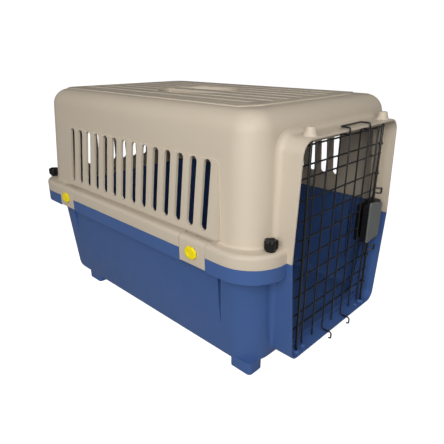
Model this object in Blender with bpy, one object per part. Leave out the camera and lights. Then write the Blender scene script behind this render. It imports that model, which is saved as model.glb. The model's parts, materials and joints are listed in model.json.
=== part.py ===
"""Moulded two-part pet carrier with a wire door, four clamp knobs and four quarter-turn clips.

Metres, +Z up. The door faces -Y. The origin is on the ground under the middle of the carrier.
"""
import math

import bmesh
import bpy
from mathutils import Matrix, Vector

# Driving dimensions. Distances behind the door frame's front face are added to LIP_Y.
LIP_Y = -0.2953
SEAM_Z = 0.190
ROOF_Z = 0.3882
PANEL_RISE = 0.0015
WALL = 0.003
GAP = 0.0003
CORNER_STEPS = 6
MIN_RADIUS = 0.004

# Rim: the band that both shells share
RIM_HALF = 0.2092
RIM_FRONT = LIP_Y + 0.0075
RIM_REAR = LIP_Y + 0.600
RIM_RADII = (0.060, 0.050)
SKIRT_Z = 0.169
RIM_TOP_Z = 0.2107
RIM_PLATE = 0.0048
RIM_ROUNDING = 0.0065

# Lower shell
FOOT_HEIGHT = 0.007
TUB_BOTTOM = (0.1748, LIP_Y + 0.039, LIP_Y + 0.566)
TUB_TOP = (0.188, LIP_Y + 0.031, LIP_Y + 0.579)
TUB_RADII = (0.045, 0.045)
TUB_ROUNDING = 0.016
FOOT_LENGTH = 0.041
FOOT_WIDTH = 0.030
FOOT_FRONTS = (LIP_Y + 0.041, LIP_Y + 0.456)

# Upper shell
WALL_BASE = (0.1917, LIP_Y + 0.031, LIP_Y + 0.583)
WALL_TOP = (0.1816, LIP_Y + 0.038, LIP_Y + 0.573)
WALL_RADII = (0.040, 0.042)
ROOF_ROUNDING = 0.028
PANEL_HALF = 0.151
PANEL_FRONT = LIP_Y + 0.078
PANEL_REAR = LIP_Y + 0.558
PANEL_CHAMFER = 0.034
BOWL_CENTRE = (0.0, LIP_Y + 0.325)
BOWL_RADIUS = 0.078
BOWL_FLOOR_RADIUS = 0.060
BOWL_DEPTH = 0.040
GRIP_HALF = 0.015
GRIP_HEIGHT = 0.014

# Vents
VENT_PITCH = 0.02765
VENT_HALF_WIDTH = 0.007
VENT_Z = (0.2238, 0.3228)
LEFT_MIDDLE_Y = LIP_Y + 0.2929
RIGHT_MIDDLE_Y = LIP_Y + 0.3026
LEFT_VENTS = 14
RIGHT_VENTS = 13
REAR_VENTS = 8
REAR_PITCH = 0.029
FIELD_Z = (0.2165, 0.3245)
FIELD_TOP_X = 0.1867
FIELD_SLOPE = 0.110
FIELD_THICKNESS = 0.0042
FIELD_RADIUS = 0.008

# Door frame: the neck that stands out of the front walls
SILL_Z = 0.0222
NECK_TOP_Z = 0.3553
NECK_HALVES = (0.1284, 0.144, 0.134)
NECK_RADII = (0.018, 0.022)
NECK_DEPTH = 0.050
RECESS_DEPTH = 0.020
LEDGE_WIDTH = 0.0095
LEDGE_THICKNESS = 0.003

# Door
WIRE = 0.0013
ROD = 0.002
ROD_Y = LIP_Y + 0.0088
VERTICAL_Y = LIP_Y + 0.0102
HORIZONTAL_Y = VERTICAL_Y + 2 * WIRE - GAP
STAY_Y = VERTICAL_Y - 2 * GAP
HINGE_X = -0.104
LATCH_X = 0.100
VERTICAL_PITCH = 0.0293
WIRE_BOTTOM_Z = 0.031
WIRE_TOP_Z = 0.3455
HORIZONTAL_ZS = (0.066, 0.089, 0.120, 0.150, 0.180, 0.210, 0.239, 0.268, 0.299, 0.317, 0.343)
HORIZONTAL_END = 0.115
TOP_WIRE_END = 0.1115
ROD_ENDS_Z = (0.0228, 0.3605)
SOCKET_HOLE = 0.0026

# Latch
HOUSING_X = (0.0905, 0.111)
HOUSING_Y = (LIP_Y - 0.001, LIP_Y + 0.020)
HOUSING_Z = (0.152, 0.222)
WING_X = (0.067, 0.0925)
WING_YS = ((LIP_Y - 0.001, LIP_Y + 0.0084), (LIP_Y + 0.0145, LIP_Y + 0.020))
WING_Z = (0.156, 0.219)
COVER_CORNERS = ((0.067, 0.1545), (0.109, 0.159), (0.109, 0.219), (0.067, 0.2265))
COVER_THICKNESS = 0.0028
LATCH_MIDDLE_Z = 0.187
MIDDLE_WALL = 0.0026
SPRING_SPACE_HALF = 0.0065
SPRING_SPACE_Y = (LIP_Y + 0.0030, LIP_Y + 0.0130)
ROD_INNER_END = 0.019
FLANGE_RADIUS = 0.0034
FLANGE_HEIGHT = 0.002
FINGER_LOOP_START = 0.0125
FINGER_LOOP_HEIGHT = 0.0085
FINGER_LOOP_WIDTH = 0.0065
FINGER_LOOP_REACH = 0.0095

# Clamp knobs and clips
KNOB_PLACES = {
    "front_left": (-0.163, LIP_Y + 0.021),
    "front_right": (0.163, LIP_Y + 0.021),
    "rear_left": (-0.183, LIP_Y + 0.584),
    "rear_right": (0.183, LIP_Y + 0.584),
}
KNOB_RADIUS = 0.0105
KNOB_HEIGHT = 0.0145
STUD_RADIUS = 0.003
NUT_RADIUS = 0.005
NUT_HEIGHT = 0.005
CLIP_PLACES = {
    "front_left": (-1, LIP_Y + 0.1255, 0.054),
    "front_right": (1, LIP_Y + 0.1255, 0.054),
    "rear_left": (-1, LIP_Y + 0.487, 0.050),
    "rear_right": (1, LIP_Y + 0.487, 0.050),
}
CLIP_BOTTOM_Z = 0.170
CLIP_THICKNESS = 0.003
NOTCH_X = 0.1923
NOTCH_Z = 0.2046
PIVOT_X = 0.1956
PIVOT_Z = 0.2077
PIN_RADIUS = 0.0012
BUTTON_Z = 0.190
BUTTON_RADIUS = 0.0125
BUTTON_THICKNESS = 0.0036
SHAFT_RADIUS = 0.0035
CAM_HALF_LENGTH = 0.0068
CAM_HALF_WIDTH = 0.0028
CAM_X = (0.1998, 0.2023)
CAM_SLOT_X = 0.1975
CAM_SLOT_Z = 0.1850
CAM_ROOM = 0.0012


def clear_scene():
    """Remove whatever the file already holds."""
    for obj in list(bpy.data.objects):
        bpy.data.objects.remove(obj, do_unlink=True)


def finish(name, colour, roughness, metallic=0.0):
    """A Principled material."""
    material = bpy.data.materials.new(name)
    material.use_nodes = True
    shader = material.node_tree.nodes["Principled BSDF"]
    shader.inputs["Base Color"].default_value = (*colour, 1.0)
    shader.inputs["Roughness"].default_value = roughness
    shader.inputs["Metallic"].default_value = metallic
    return material


def frame(name, place, parent=None):
    """An empty on a joint's axis, which carries the pieces that move together."""
    empty = bpy.data.objects.new(name, None)
    bpy.context.collection.objects.link(empty)
    empty.location = Vector(place)
    if parent:
        empty.location -= parent.location
        empty.parent = parent
    return empty


def world_place(empty):
    """Where an empty stands, down its chain of parents."""
    place = Vector((0.0, 0.0, 0.0))
    while empty:
        place += empty.location
        empty = empty.parent
    return place


def piece(name, bm, material=None, parent=None):
    """Turn a bmesh in world coordinates into an object, with its origin on its parent's place."""
    bmesh.ops.recalc_face_normals(bm, faces=bm.faces)
    origin = world_place(parent)
    bmesh.ops.translate(bm, verts=bm.verts, vec=-origin)
    mesh = bpy.data.meshes.new(name)
    bm.to_mesh(mesh)
    bm.free()
    obj = bpy.data.objects.new(name, mesh)
    bpy.context.collection.objects.link(obj)
    obj.parent = parent
    if material:
        mesh.materials.append(material)
        mesh.shade_smooth()
        mesh.set_sharp_from_angle(angle=math.radians(35))
    return obj


def tool(name, bm):
    """A body that shapes another by a Boolean and is not part of the carrier."""
    obj = piece(name, bm)
    obj.hide_render = True
    obj.display_type = "WIRE"
    return obj


def combine(target, operation, name, bm):
    """Add a Boolean with a new tool body to the target."""
    modifier = target.modifiers.new(name, "BOOLEAN")
    modifier.operation = operation
    modifier.solver = "EXACT"
    modifier.object = tool("tool_" + name, bm)


def rounded(corners, radii, steps=CORNER_STEPS):
    """The outline of a polygon whose corners become arcs. A zero radius keeps its corner."""
    outline = []
    for index, (corner, radius) in enumerate(zip(corners, radii)):
        corner = Vector(corner)
        if radius == 0:
            outline.append(corner)
            continue
        back = (Vector(corners[index - 1]) - corner).normalized()
        ahead = (Vector(corners[(index + 1) % len(corners)]) - corner).normalized()
        half = back.angle(ahead) / 2
        centre = corner + (back + ahead).normalized() * radius / math.sin(half)
        start = corner + back * radius / math.tan(half) - centre
        end = corner + ahead * radius / math.tan(half) - centre
        sweep = math.atan2(start.cross(end), start.dot(end))
        for step in range(steps + 1):
            outline.append(centre + Matrix.Rotation(sweep * step / steps, 2) @ start)
    return outline


def plan(size, radii, z, inset=0.0):
    """A rounded rectangle seen from above. size is (half width, front, rear)."""
    half, front, rear = size[0] - inset, size[1] + inset, size[2] - inset
    corners = [(-half, front), (half, front), (half, rear), (-half, rear)]
    front_radius, rear_radius = (max(radius - inset, MIN_RADIUS) for radius in radii)
    outline = rounded(corners, [front_radius, front_radius, rear_radius, rear_radius])
    return [Vector((p.x, p.y, z)) for p in outline]


def between(low, high, share):
    """The size part way from one section to another."""
    return tuple(a + (b - a) * share for a, b in zip(low, high))


def loft(bm, loops, closed=False):
    """Join a stack of equal loops: with flat ends, or back to the first loop when closed."""
    rings = [[bm.verts.new(point) for point in loop] for loop in loops]
    pairs = list(zip(rings, rings[1:]))
    if closed:
        pairs.append((rings[-1], rings[0]))
    for lower, upper in pairs:
        for i in range(len(lower)):
            j = (i + 1) % len(lower)
            bm.faces.new((lower[i], lower[j], upper[j], upper[i]))
    if not closed:
        bm.faces.new(reversed(rings[0]))
        bm.faces.new(rings[-1])
    return bm


def box(bm, low, high):
    """A box between two corners."""
    loops = []
    for z in (low[2], high[2]):
        corners = [(low[0], low[1]), (high[0], low[1]), (high[0], high[1]), (low[0], high[1])]
        loops.append([Vector((x, y, z)) for x, y in corners])
    return loft(bm, loops)


def ordered(a, b):
    """Two values with the lower one first."""
    return (a, b) if a < b else (b, a)


def circle(radius, centre, axis="Z", sides=16, phase=0.0):
    """A loop round a centre, square to one of the main axes."""
    turn = [phase + 2 * math.pi * i / sides for i in range(sides)]
    flat = [(radius * math.cos(a), radius * math.sin(a)) for a in turn]
    place = {
        "X": lambda a, b: Vector((0, a, b)),
        "Y": lambda a, b: Vector((a, 0, b)),
        "Z": lambda a, b: Vector((a, b, 0)),
    }[axis]
    return [Vector(centre) + place(a, b) for a, b in flat]


def turned(bm, centre, profile, axis="Z", sides=16):
    """A turned body: profile holds (radius, distance along the axis) pairs."""
    direction = {"X": Vector((1, 0, 0)), "Y": Vector((0, 1, 0)), "Z": Vector((0, 0, 1))}[axis]
    loops = [circle(r, Vector(centre) + direction * d, axis, sides) for r, d in profile]
    return loft(bm, loops)


def wire(bm, points, radius, sides=6):
    """A round wire along a route, with its ends filled."""
    route = [Vector(point) for point in points]
    loops = []
    normal = None
    for index, point in enumerate(route):
        back = route[max(index - 1, 0)]
        ahead = route[min(index + 1, len(route) - 1)]
        along = (ahead - back).normalized()
        if normal is None:
            normal = along.orthogonal().normalized()
        normal = (normal - along * normal.dot(along)).normalized()
        side = along.cross(normal)
        turn = [2 * math.pi * (i + 0.5) / sides for i in range(sides)]
        loops.append([point + (normal * math.cos(a) + side * math.sin(a)) * radius for a in turn])
    return loft(bm, loops)


def bent(points, radius, steps=3):
    """A route whose bends become arcs of about one radius."""
    route = [Vector(points[0])]
    for index in range(1, len(points) - 1):
        corner = Vector(points[index])
        back = Vector(points[index - 1]) - corner
        ahead = Vector(points[index + 1]) - corner
        reach = min(radius, back.length * 0.45, ahead.length * 0.45)
        start = corner + back.normalized() * reach
        end = corner + ahead.normalized() * reach
        for step in range(steps + 1):
            t = step / steps
            route.append(start * (1 - t) ** 2 + corner * 2 * t * (1 - t) + end * t * t)
    route.append(Vector(points[-1]))
    return route


# Shells


def quarter_steps(count):
    """Angles of a quarter turn, ends included."""
    return [math.pi / 2 * step / count for step in range(count + 1)]


def tub_section(z, inset=0.0):
    """The lower shell's wall outline at a height."""
    share = (z - FOOT_HEIGHT) / (SEAM_Z - FOOT_HEIGHT)
    return plan(between(TUB_BOTTOM, TUB_TOP, share), TUB_RADII, z, inset)


def rim_section(z, inset=0.0):
    """The rim's outline."""
    return plan((RIM_HALF, RIM_FRONT, RIM_REAR), RIM_RADII, z, inset)


def wall_section(z, inset=0.0):
    """The upper shell's wall outline at a height."""
    share = (z - RIM_TOP_Z) / (ROOF_Z - RIM_TOP_Z)
    return plan(between(WALL_BASE, WALL_TOP, share), WALL_RADII, z, inset)


def neck_outline(inset, part="whole"):
    """The door frame's outline in X and Z: below the seam, above it, or whole."""
    low, seam, top = (half - inset for half in NECK_HALVES)
    bottom_radius, top_radius = (max(radius - inset, MIN_RADIUS) for radius in NECK_RADII)
    sill = [(-low, SILL_Z + inset), (low, SILL_Z + inset)]
    roof = [(top, NECK_TOP_Z - inset), (-top, NECK_TOP_Z - inset)]
    if part == "lower":
        return rounded(sill + [(seam, SEAM_Z), (-seam, SEAM_Z)], [bottom_radius] * 2 + [0, 0])
    if part == "upper":
        edge = [(-seam, SEAM_Z + GAP), (seam, SEAM_Z + GAP)]
        return rounded(edge + roof, [0, 0] + [top_radius] * 2)
    radii = [bottom_radius] * 2 + [0] + [top_radius] * 2 + [0]
    return rounded(sill + [(seam, SEAM_Z)] + roof + [(-seam, SEAM_Z)], radii)


def neck_body(part, stations):
    """A body along Y: stations hold (distance behind the lip, inset) pairs."""
    loops = []
    for depth, inset in stations:
        loops.append([Vector((p.x, LIP_Y + depth, p.y)) for p in neck_outline(inset, part)])
    return loft(bmesh.new(), loops)


def door_passage():
    """The way through the neck: recess, ledge opening and the space behind the ledge."""
    behind = RECESS_DEPTH + LEDGE_THICKNESS
    narrow = WALL + LEDGE_WIDTH
    stations = [(-0.010, WALL), (RECESS_DEPTH, WALL), (RECESS_DEPTH, narrow)]
    stations += [(behind, narrow), (behind, WALL), (NECK_DEPTH + 0.010, WALL)]
    return neck_body("whole", stations)


def feet():
    """Four low feet under the floor's corners."""
    bm = bmesh.new()
    for side in (-1, 1):
        outer = side * TUB_BOTTOM[0]
        for front in FOOT_FRONTS:
            low_x, high_x = ordered(outer, outer - side * FOOT_WIDTH)
            top = FOOT_HEIGHT + TUB_ROUNDING / 2
            box(bm, (low_x, front, 0.0), (high_x, front + FOOT_LENGTH, top))
    return bm


def clip_pocket(bm, low_z, high_z):
    """Where the four clips lie flush in the rim's outer face."""
    for side, middle, width in CLIP_PLACES.values():
        floor = side * (RIM_HALF - CLIP_THICKNESS - GAP)
        low_x, high_x = ordered(floor, side * (RIM_HALF + 0.004))
        half = width / 2 + GAP
        box(bm, (low_x, middle - half, low_z), (high_x, middle + half, high_z))
    return bm


def cam_slots(bm):
    """Openings at the lower rim's edge that the turned cams can pass through."""
    for side, middle, _width in CLIP_PLACES.values():
        low_x, high_x = ordered(side * CAM_SLOT_X, side * (RIM_HALF + 0.004))
        half = CAM_HALF_LENGTH + CAM_ROOM
        box(bm, (low_x, middle - half, CAM_SLOT_Z), (high_x, middle + half, SEAM_Z + 0.002))
    return bm


def lower_shell(plastic):
    """The tub: floor, walls, inverted-L rim, sill half of the door frame, and feet."""
    loops = []
    for angle in quarter_steps(3):
        z = FOOT_HEIGHT + TUB_ROUNDING * (1 - math.cos(angle))
        loops.append(tub_section(z, TUB_ROUNDING * (1 - math.sin(angle))))
    plate_z = SEAM_Z - WALL
    loops += [tub_section(plate_z), rim_section(plate_z, WALL), rim_section(SKIRT_Z, WALL)]
    loops += [rim_section(SKIRT_Z), rim_section(SEAM_Z)]
    shell = piece("lower_shell", loft(bmesh.new(), loops), plastic)
    neck = neck_body("lower", [(0.0, 0.0), (NECK_DEPTH, 0.0)])
    combine(shell, "UNION", "lower_neck", neck)
    combine(shell, "UNION", "feet", feet())
    inner = TUB_ROUNDING - WALL
    cavity = []
    for angle in quarter_steps(3):
        z = FOOT_HEIGHT + WALL + inner * (1 - math.cos(angle))
        cavity.append(tub_section(z, WALL + inner * (1 - math.sin(angle))))
    cavity.append(tub_section(SEAM_Z + 0.010, WALL))
    combine(shell, "DIFFERENCE", "tub_cavity", loft(bmesh.new(), cavity))
    combine(shell, "DIFFERENCE", "lower_passage", door_passage())
    combine(shell, "UNION", "sill_bosses", sill_bosses())
    combine(shell, "DIFFERENCE", "lower_holes", lower_holes())
    pockets = clip_pocket(bmesh.new(), SKIRT_Z - 0.002, SEAM_Z + 0.002)
    combine(shell, "DIFFERENCE", "lower_pockets", pockets)
    combine(shell, "DIFFERENCE", "cam_slots", cam_slots(bmesh.new()))
    return shell


def sill_bosses():
    """Raised sockets for the two rods, each with a small stop beside it."""
    bm = bmesh.new()
    base = SILL_Z + WALL - 0.001
    for x in (HINGE_X, LATCH_X):
        turned(bm, (x, ROD_Y, base), [(0.0068, 0.0), (0.0062, 0.0035), (0.0050, 0.0042)], sides=14)
        stop = (x * 0.82, ROD_Y, base)
        turned(bm, stop, [(0.0036, 0.0), (0.0034, 0.002), (0.0018, 0.0034)], sides=10)
    return bm


def lower_holes():
    """Rod sockets through the sill and stud holes through the rim's plate."""
    bm = bmesh.new()
    for x in (HINGE_X, LATCH_X):
        turned(bm, (x, ROD_Y, SILL_Z - 0.002), [(SOCKET_HOLE, 0.0), (SOCKET_HOLE, 0.012)], sides=12)
    for x, y in KNOB_PLACES.values():
        hole = STUD_RADIUS + 0.0005
        turned(bm, (x, y, SEAM_Z - 0.008), [(hole, 0.0), (hole, 0.012)], sides=12)
    return bm


def rod_cones():
    """Hollow cones on top of the neck that take the rods' upper ends."""
    bm = bmesh.new()
    profile = [(0.0086, -0.0015), (0.0085, 0.0022), (0.0070, 0.0060), (0.0060, 0.0112), (0.0046, 0.0124)]
    for x in (HINGE_X, LATCH_X):
        turned(bm, (x, ROD_Y, NECK_TOP_Z), profile, sides=14)
    return bm


def upper_holes():
    """Rod sockets up into the cones, stud holes and the clip pins' sockets."""
    bm = bmesh.new()
    for x in (HINGE_X, LATCH_X):
        low = NECK_TOP_Z - 0.006
        turned(bm, (x, ROD_Y, low), [(SOCKET_HOLE, 0.0), (SOCKET_HOLE, 0.0135)], sides=12)
    for x, y in KNOB_PLACES.values():
        hole = STUD_RADIUS + 0.0005
        turned(bm, (x, y, SEAM_Z + 0.010), [(hole, 0.0), (hole, 0.015)], sides=12)
    for side, middle, width in CLIP_PLACES.values():
        reach = width / 2 + 0.0028
        hole = PIN_RADIUS + 0.0004
        centre = (side * PIVOT_X, middle - reach, PIVOT_Z)
        turned(bm, centre, [(hole, 0.0), (hole, 2 * reach)], "Y", sides=8)
    return bm


def clip_notches():
    """The gaps across the rim's top that the four clips fill."""
    bm = bmesh.new()
    for side, middle, width in CLIP_PLACES.values():
        low_x, high_x = ordered(side * NOTCH_X, side * (RIM_HALF + 0.004))
        half = width / 2 + GAP
        box(bm, (low_x, middle - half, NOTCH_Z), (high_x, middle + half, RIM_TOP_Z + 0.002))
    return bm


def rim_groove():
    """The hollow on the underside of the upper rim."""
    low, high = SEAM_Z - 0.004, RIM_TOP_Z - RIM_PLATE
    outer = [rim_section(z, WALL) for z in (low, high)]
    inner = [wall_section(z, 0.0) for z in (high, low)]
    return loft(bmesh.new(), outer + inner, closed=True)


def slot(bm, centre, axis, half_depth):
    """A vertical vent opening with round ends, cut along X or Y."""
    low, high = VENT_Z
    r = VENT_HALF_WIDTH
    outline = rounded([(-r, low), (r, low), (r, high), (-r, high)], [r * 0.999] * 4, 3)
    loops = []
    for depth in (-half_depth, half_depth):
        if axis == "X":
            loops.append([Vector((centre[0] + depth, centre[1] + p.x, p.y)) for p in outline])
        else:
            loops.append([Vector((centre[0] + p.x, centre[1] + depth, p.y)) for p in outline])
    return loft(bm, loops)


def vent_rows():
    """The vents' middles in Y on each side, by side, from front to rear."""
    rows = {}
    for side, count, middle in ((-1, LEFT_VENTS, LEFT_MIDDLE_Y), (1, RIGHT_VENTS, RIGHT_MIDDLE_Y)):
        rows[side] = [middle + (i - (count - 1) / 2) * VENT_PITCH for i in range(count)]
    return rows


def shoulder(edge, high, radius):
    """A quarter round from the top of a rib down to its front edge."""
    arc = []
    for angle in quarter_steps(3):
        arc.append((edge + radius * (1 - math.sin(angle)), high - radius * (1 - math.cos(angle))))
    return arc


def lid_half(z):
    """Half the lid's outer width at a height."""
    return between(WALL_BASE, WALL_TOP, (z - RIM_TOP_Z) / (ROOF_Z - RIM_TOP_Z))[0]


def field_half(z):
    """How far out the raised fields of vents stand: they slope outward on their way down."""
    return FIELD_TOP_X + (FIELD_Z[1] - z) * FIELD_SLOPE


def field_outline(row):
    """The raised field round a row of vents: each rib between two vents has one round shoulder."""
    low, high = FIELD_Z
    r = FIELD_RADIUS
    first, last = row[0], row[-1]
    outline = [(last + 0.0135, low), (last + 0.0135, high - 0.003), (last + 0.0105, high)]
    for middle in reversed(row[:-1]):
        edge = middle + VENT_HALF_WIDTH - 0.0008
        outline += shoulder(edge, high, r)
        outline.append((edge, high))
    outline += shoulder(first - 0.0195, high, r)
    outline.append((first - 0.028, low))
    return outline


def vent_fields():
    """The raised fields of ribs on both sides."""
    bm = bmesh.new()
    for side, row in vent_rows().items():
        outline = field_outline(row)
        inner = [Vector((side * (lid_half(z) - 0.0015), y, z)) for y, z in outline]
        loft(bm, [inner, [Vector((side * field_half(z), y, z)) for y, z in outline]])
    return bm


def field_hollows():
    """The hollows behind the raised fields, which keep the ribs thin."""
    bm = bmesh.new()
    low, high = FIELD_Z[0] + 0.004, FIELD_Z[1] - 0.002
    for side, row in vent_rows().items():
        front, rear = row[0] - 0.016, row[-1] + 0.0105
        outline = [(front, low), (rear, low), (rear, high), (front, high)]
        inner = [Vector((side * 0.165, y, z)) for y, z in outline]
        outer = [Vector((side * (field_half(z) - FIELD_THICKNESS), y, z)) for y, z in outline]
        loft(bm, [inner, outer])
    return bm


def vents():
    """Every vent opening: the right side's row starts further back than the left side's."""
    bm = bmesh.new()
    for side, row in vent_rows().items():
        for middle in row:
            slot(bm, (side * WALL_BASE[0], middle), "X", 0.020)
    for index in range(REAR_VENTS):
        x = (index - (REAR_VENTS - 1) / 2) * REAR_PITCH
        slot(bm, (x, WALL_BASE[2]), "Y", 0.020)
    return bm


def roof_panel():
    """The slightly raised panel on the roof, with its front corners cut off."""
    half, front, rear, cut = PANEL_HALF, PANEL_FRONT, PANEL_REAR, PANEL_CHAMFER
    corners = [(-half + cut, front), (half - cut, front), (half, front + cut * 0.4)]
    corners += [(half, rear), (-half, rear), (-half, front + cut * 0.4)]
    outline = rounded(corners, [0, 0, 0, 0.020, 0.020, 0])
    levels = (ROOF_Z - 0.001, ROOF_Z + PANEL_RISE)
    return loft(bmesh.new(), [[Vector((p.x, p.y, z)) for p in outline] for z in levels])


def bowl(extra, top):
    """The round hand recess in the roof, or its wall when extra is the wall's thickness."""
    floor = ROOF_Z + PANEL_RISE - BOWL_DEPTH - extra
    profile = [(BOWL_FLOOR_RADIUS - 0.010 + extra, floor), (BOWL_FLOOR_RADIUS + extra, floor + 0.004)]
    profile += [(BOWL_RADIUS - 0.006 + extra, floor + BOWL_DEPTH * 0.72), (BOWL_RADIUS + extra, top)]
    return turned(bmesh.new(), (*BOWL_CENTRE, 0.0), profile, sides=32)


def grip():
    """The carrying bar that bridges the recess lengthwise, just below the roof's level."""
    top = ROOF_Z + PANEL_RISE - 0.0006
    low = top - GRIP_HEIGHT
    corners = [(-GRIP_HALF, low), (GRIP_HALF, low), (GRIP_HALF, top), (-GRIP_HALF, top)]
    outline = rounded(corners, [0.005, 0.005, 0.004, 0.004], 3)
    reach = BOWL_RADIUS + 0.002
    ends = (BOWL_CENTRE[1] - reach, BOWL_CENTRE[1] + reach)
    return loft(bmesh.new(), [[Vector((p.x, y, p.y)) for p in outline] for y in ends])


def upper_shell(plastic, parent):
    """The lid: rim, walls with vents, roof with its carrying grip, and the door frame's top half."""
    rim_levels = [(SEAM_Z + GAP, 0.0), (RIM_TOP_Z - 0.0070, 0.0), (RIM_TOP_Z - 0.0021, 0.0018)]
    loops = [rim_section(z, inset) for z, inset in rim_levels]
    loops.append(rim_section(RIM_TOP_Z - 0.0002, RIM_ROUNDING))
    loops.append(wall_section(RIM_TOP_Z))
    for angle in quarter_steps(4):
        z = ROOF_Z - ROOF_ROUNDING * (1 - math.sin(angle))
        loops.append(wall_section(z, ROOF_ROUNDING * (1 - math.cos(angle))))
    shell = piece("upper_shell", loft(bmesh.new(), loops), plastic, parent)
    combine(shell, "UNION", "upper_neck", neck_body("upper", [(0.0, 0.0), (NECK_DEPTH, 0.0)]))
    combine(shell, "UNION", "rod_cones", rod_cones())
    combine(shell, "UNION", "roof_panel", roof_panel())
    cavity = [wall_section(SEAM_Z - 0.010, WALL)]
    inner = ROOF_ROUNDING - WALL
    for angle in quarter_steps(4):
        z = ROOF_Z - WALL - inner * (1 - math.sin(angle))
        cavity.append(wall_section(z, WALL + inner * (1 - math.cos(angle))))
    combine(shell, "DIFFERENCE", "lid_cavity", loft(bmesh.new(), cavity))
    combine(shell, "UNION", "bowl_wall", bowl(WALL, ROOF_Z - 0.0005))
    combine(shell, "DIFFERENCE", "bowl_space", bowl(0.0, ROOF_Z + PANEL_RISE + 0.002))
    combine(shell, "UNION", "grip", grip())
    combine(shell, "DIFFERENCE", "rim_groove", rim_groove())
    combine(shell, "DIFFERENCE", "upper_passage", door_passage())
    combine(shell, "UNION", "vent_fields", vent_fields())
    combine(shell, "DIFFERENCE", "field_hollows", field_hollows())
    combine(shell, "DIFFERENCE", "vents", vents())
    pockets = clip_pocket(bmesh.new(), SEAM_Z - 0.002, RIM_TOP_Z + 0.002)
    combine(shell, "DIFFERENCE", "upper_pockets", pockets)
    combine(shell, "DIFFERENCE", "clip_notches", clip_notches())
    combine(shell, "DIFFERENCE", "upper_holes", upper_holes())
    return shell


# Clamp knobs


def knob(corner, place, black, steel, parent):
    """A lobed knob whose threaded stud reaches through the rim into a nut below it."""
    x, y = place
    turn = frame("axis_knob_" + corner, (x, y, RIM_TOP_Z), parent)
    base = RIM_TOP_Z + GAP
    loops = []
    for share, z in ((0.86, 0.0), (1.0, 0.0015), (1.0, 0.011), (0.88, 0.0135), (0.5, KNOB_HEIGHT)):
        ring = circle(1.0, (0, 0, 0), sides=20)
        for index, point in enumerate(ring):
            lobe = 1.0 if index % 4 in (0, 1, 3) else 0.80
            ring[index] = Vector((x, y, base + z)) + point * KNOB_RADIUS * share * lobe
        loops.append(ring)
    piece("knob_" + corner, loft(bmesh.new(), loops), black, turn)
    stud = [(STUD_RADIUS, -0.0335), (STUD_RADIUS, -GAP)]
    piece("stud_" + corner, turned(bmesh.new(), (x, y, base), stud, sides=12), steel, turn)


def nut(corner, place, steel):
    """A captive nut under the lower rim's plate."""
    top, low = SEAM_Z - WALL - GAP, SEAM_Z - WALL - GAP - NUT_HEIGHT
    outer = [circle(NUT_RADIUS, (*place, z), sides=12) for z in (low, top)]
    hole = STUD_RADIUS + 0.0004
    inner = [circle(hole, (*place, z), sides=12) for z in (top, low)]
    piece("nut_" + corner, loft(bmesh.new(), outer + inner, closed=True), steel)


# Clips and their buttons


def clip(corner, side, middle, width, plastic, parent):
    """A flush clip that hinges at the rim's inner edge and hangs over the seam."""
    hinge = frame("axis_clip_" + corner, (side * PIVOT_X, middle, PIVOT_Z), parent)
    outer, inner = RIM_HALF, RIM_HALF - CLIP_THICKNESS
    top, under = RIM_TOP_Z - 0.0002, RIM_TOP_Z - 0.0028
    barrel = 0.0024
    profile = [(PIVOT_X, top), (outer - RIM_ROUNDING, top), (outer - 0.0018, top - 0.0019)]
    profile += [(outer, top - 0.0068), (outer, CLIP_BOTTOM_Z + 0.001), (outer - 0.001, CLIP_BOTTOM_Z)]
    profile += [(inner, CLIP_BOTTOM_Z), (inner, under - 0.004), (inner - 0.003, under)]
    profile += [(PIVOT_X + barrel, under)]
    for degrees in (-45, -90, -135, 180, 135):
        angle = math.radians(degrees)
        profile.append((PIVOT_X + barrel * math.cos(angle), PIVOT_Z + barrel * math.sin(angle)))
    ends = (middle - width / 2, middle + width / 2)
    loops = [[Vector((side * x, y, z)) for x, z in profile] for y in ends]
    body = piece("clip_" + corner, loft(bmesh.new(), loops), plastic, hinge)
    pins = bmesh.new()
    reach = width / 2 + 0.0022
    pin = [(PIN_RADIUS, 0.0), (PIN_RADIUS, 2 * reach)]
    turned(pins, (side * PIVOT_X, middle - reach, PIVOT_Z), pin, "Y", sides=8)
    combine(body, "UNION", "pins_" + corner, pins)
    hole = bmesh.new()
    radius = SHAFT_RADIUS + 0.0005
    turned(hole, (side * 0.2, middle, BUTTON_Z), [(radius, -0.015), (radius, 0.015)], "X", sides=12)
    combine(body, "DIFFERENCE", "button_hole_" + corner, hole)
    return hinge


def button(corner, side, middle, yellow, parent):
    """A quarter-turn button: head outside the clip, shaft through it and a cam behind the rim."""
    turn = frame("axis_button_" + corner, (side * RIM_HALF, middle, BUTTON_Z), parent)
    face = RIM_HALF + GAP
    levels = [(0.93, 0.0), (1.0, 0.0008), (1.0, 0.0026), (0.86, BUTTON_THICKNESS)]
    head = bmesh.new()
    loops = []
    for share, depth in levels:
        centre = (side * (face + depth), middle, BUTTON_Z)
        loops.append(circle(BUTTON_RADIUS * share, centre, "X", 8, math.pi / 8))
    loft(head, loops)
    body = piece("button_" + corner, head, yellow, turn)
    shaft = bmesh.new()
    reach = [(SHAFT_RADIUS, side * 0.1995), (SHAFT_RADIUS, side * (face + 0.001))]
    turned(shaft, (0.0, middle, BUTTON_Z), reach, "X", sides=10)
    combine(body, "UNION", "shaft_" + corner, shaft)
    cam = bmesh.new()
    low_x, high_x = ordered(side * CAM_X[0], side * CAM_X[1])
    low_z, high_z = BUTTON_Z - CAM_HALF_LENGTH, BUTTON_Z + CAM_HALF_LENGTH
    box(cam, (low_x, middle - CAM_HALF_WIDTH, low_z), (high_x, middle + CAM_HALF_WIDTH, high_z))
    combine(body, "UNION", "cam_" + corner, cam)


# Door


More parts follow.
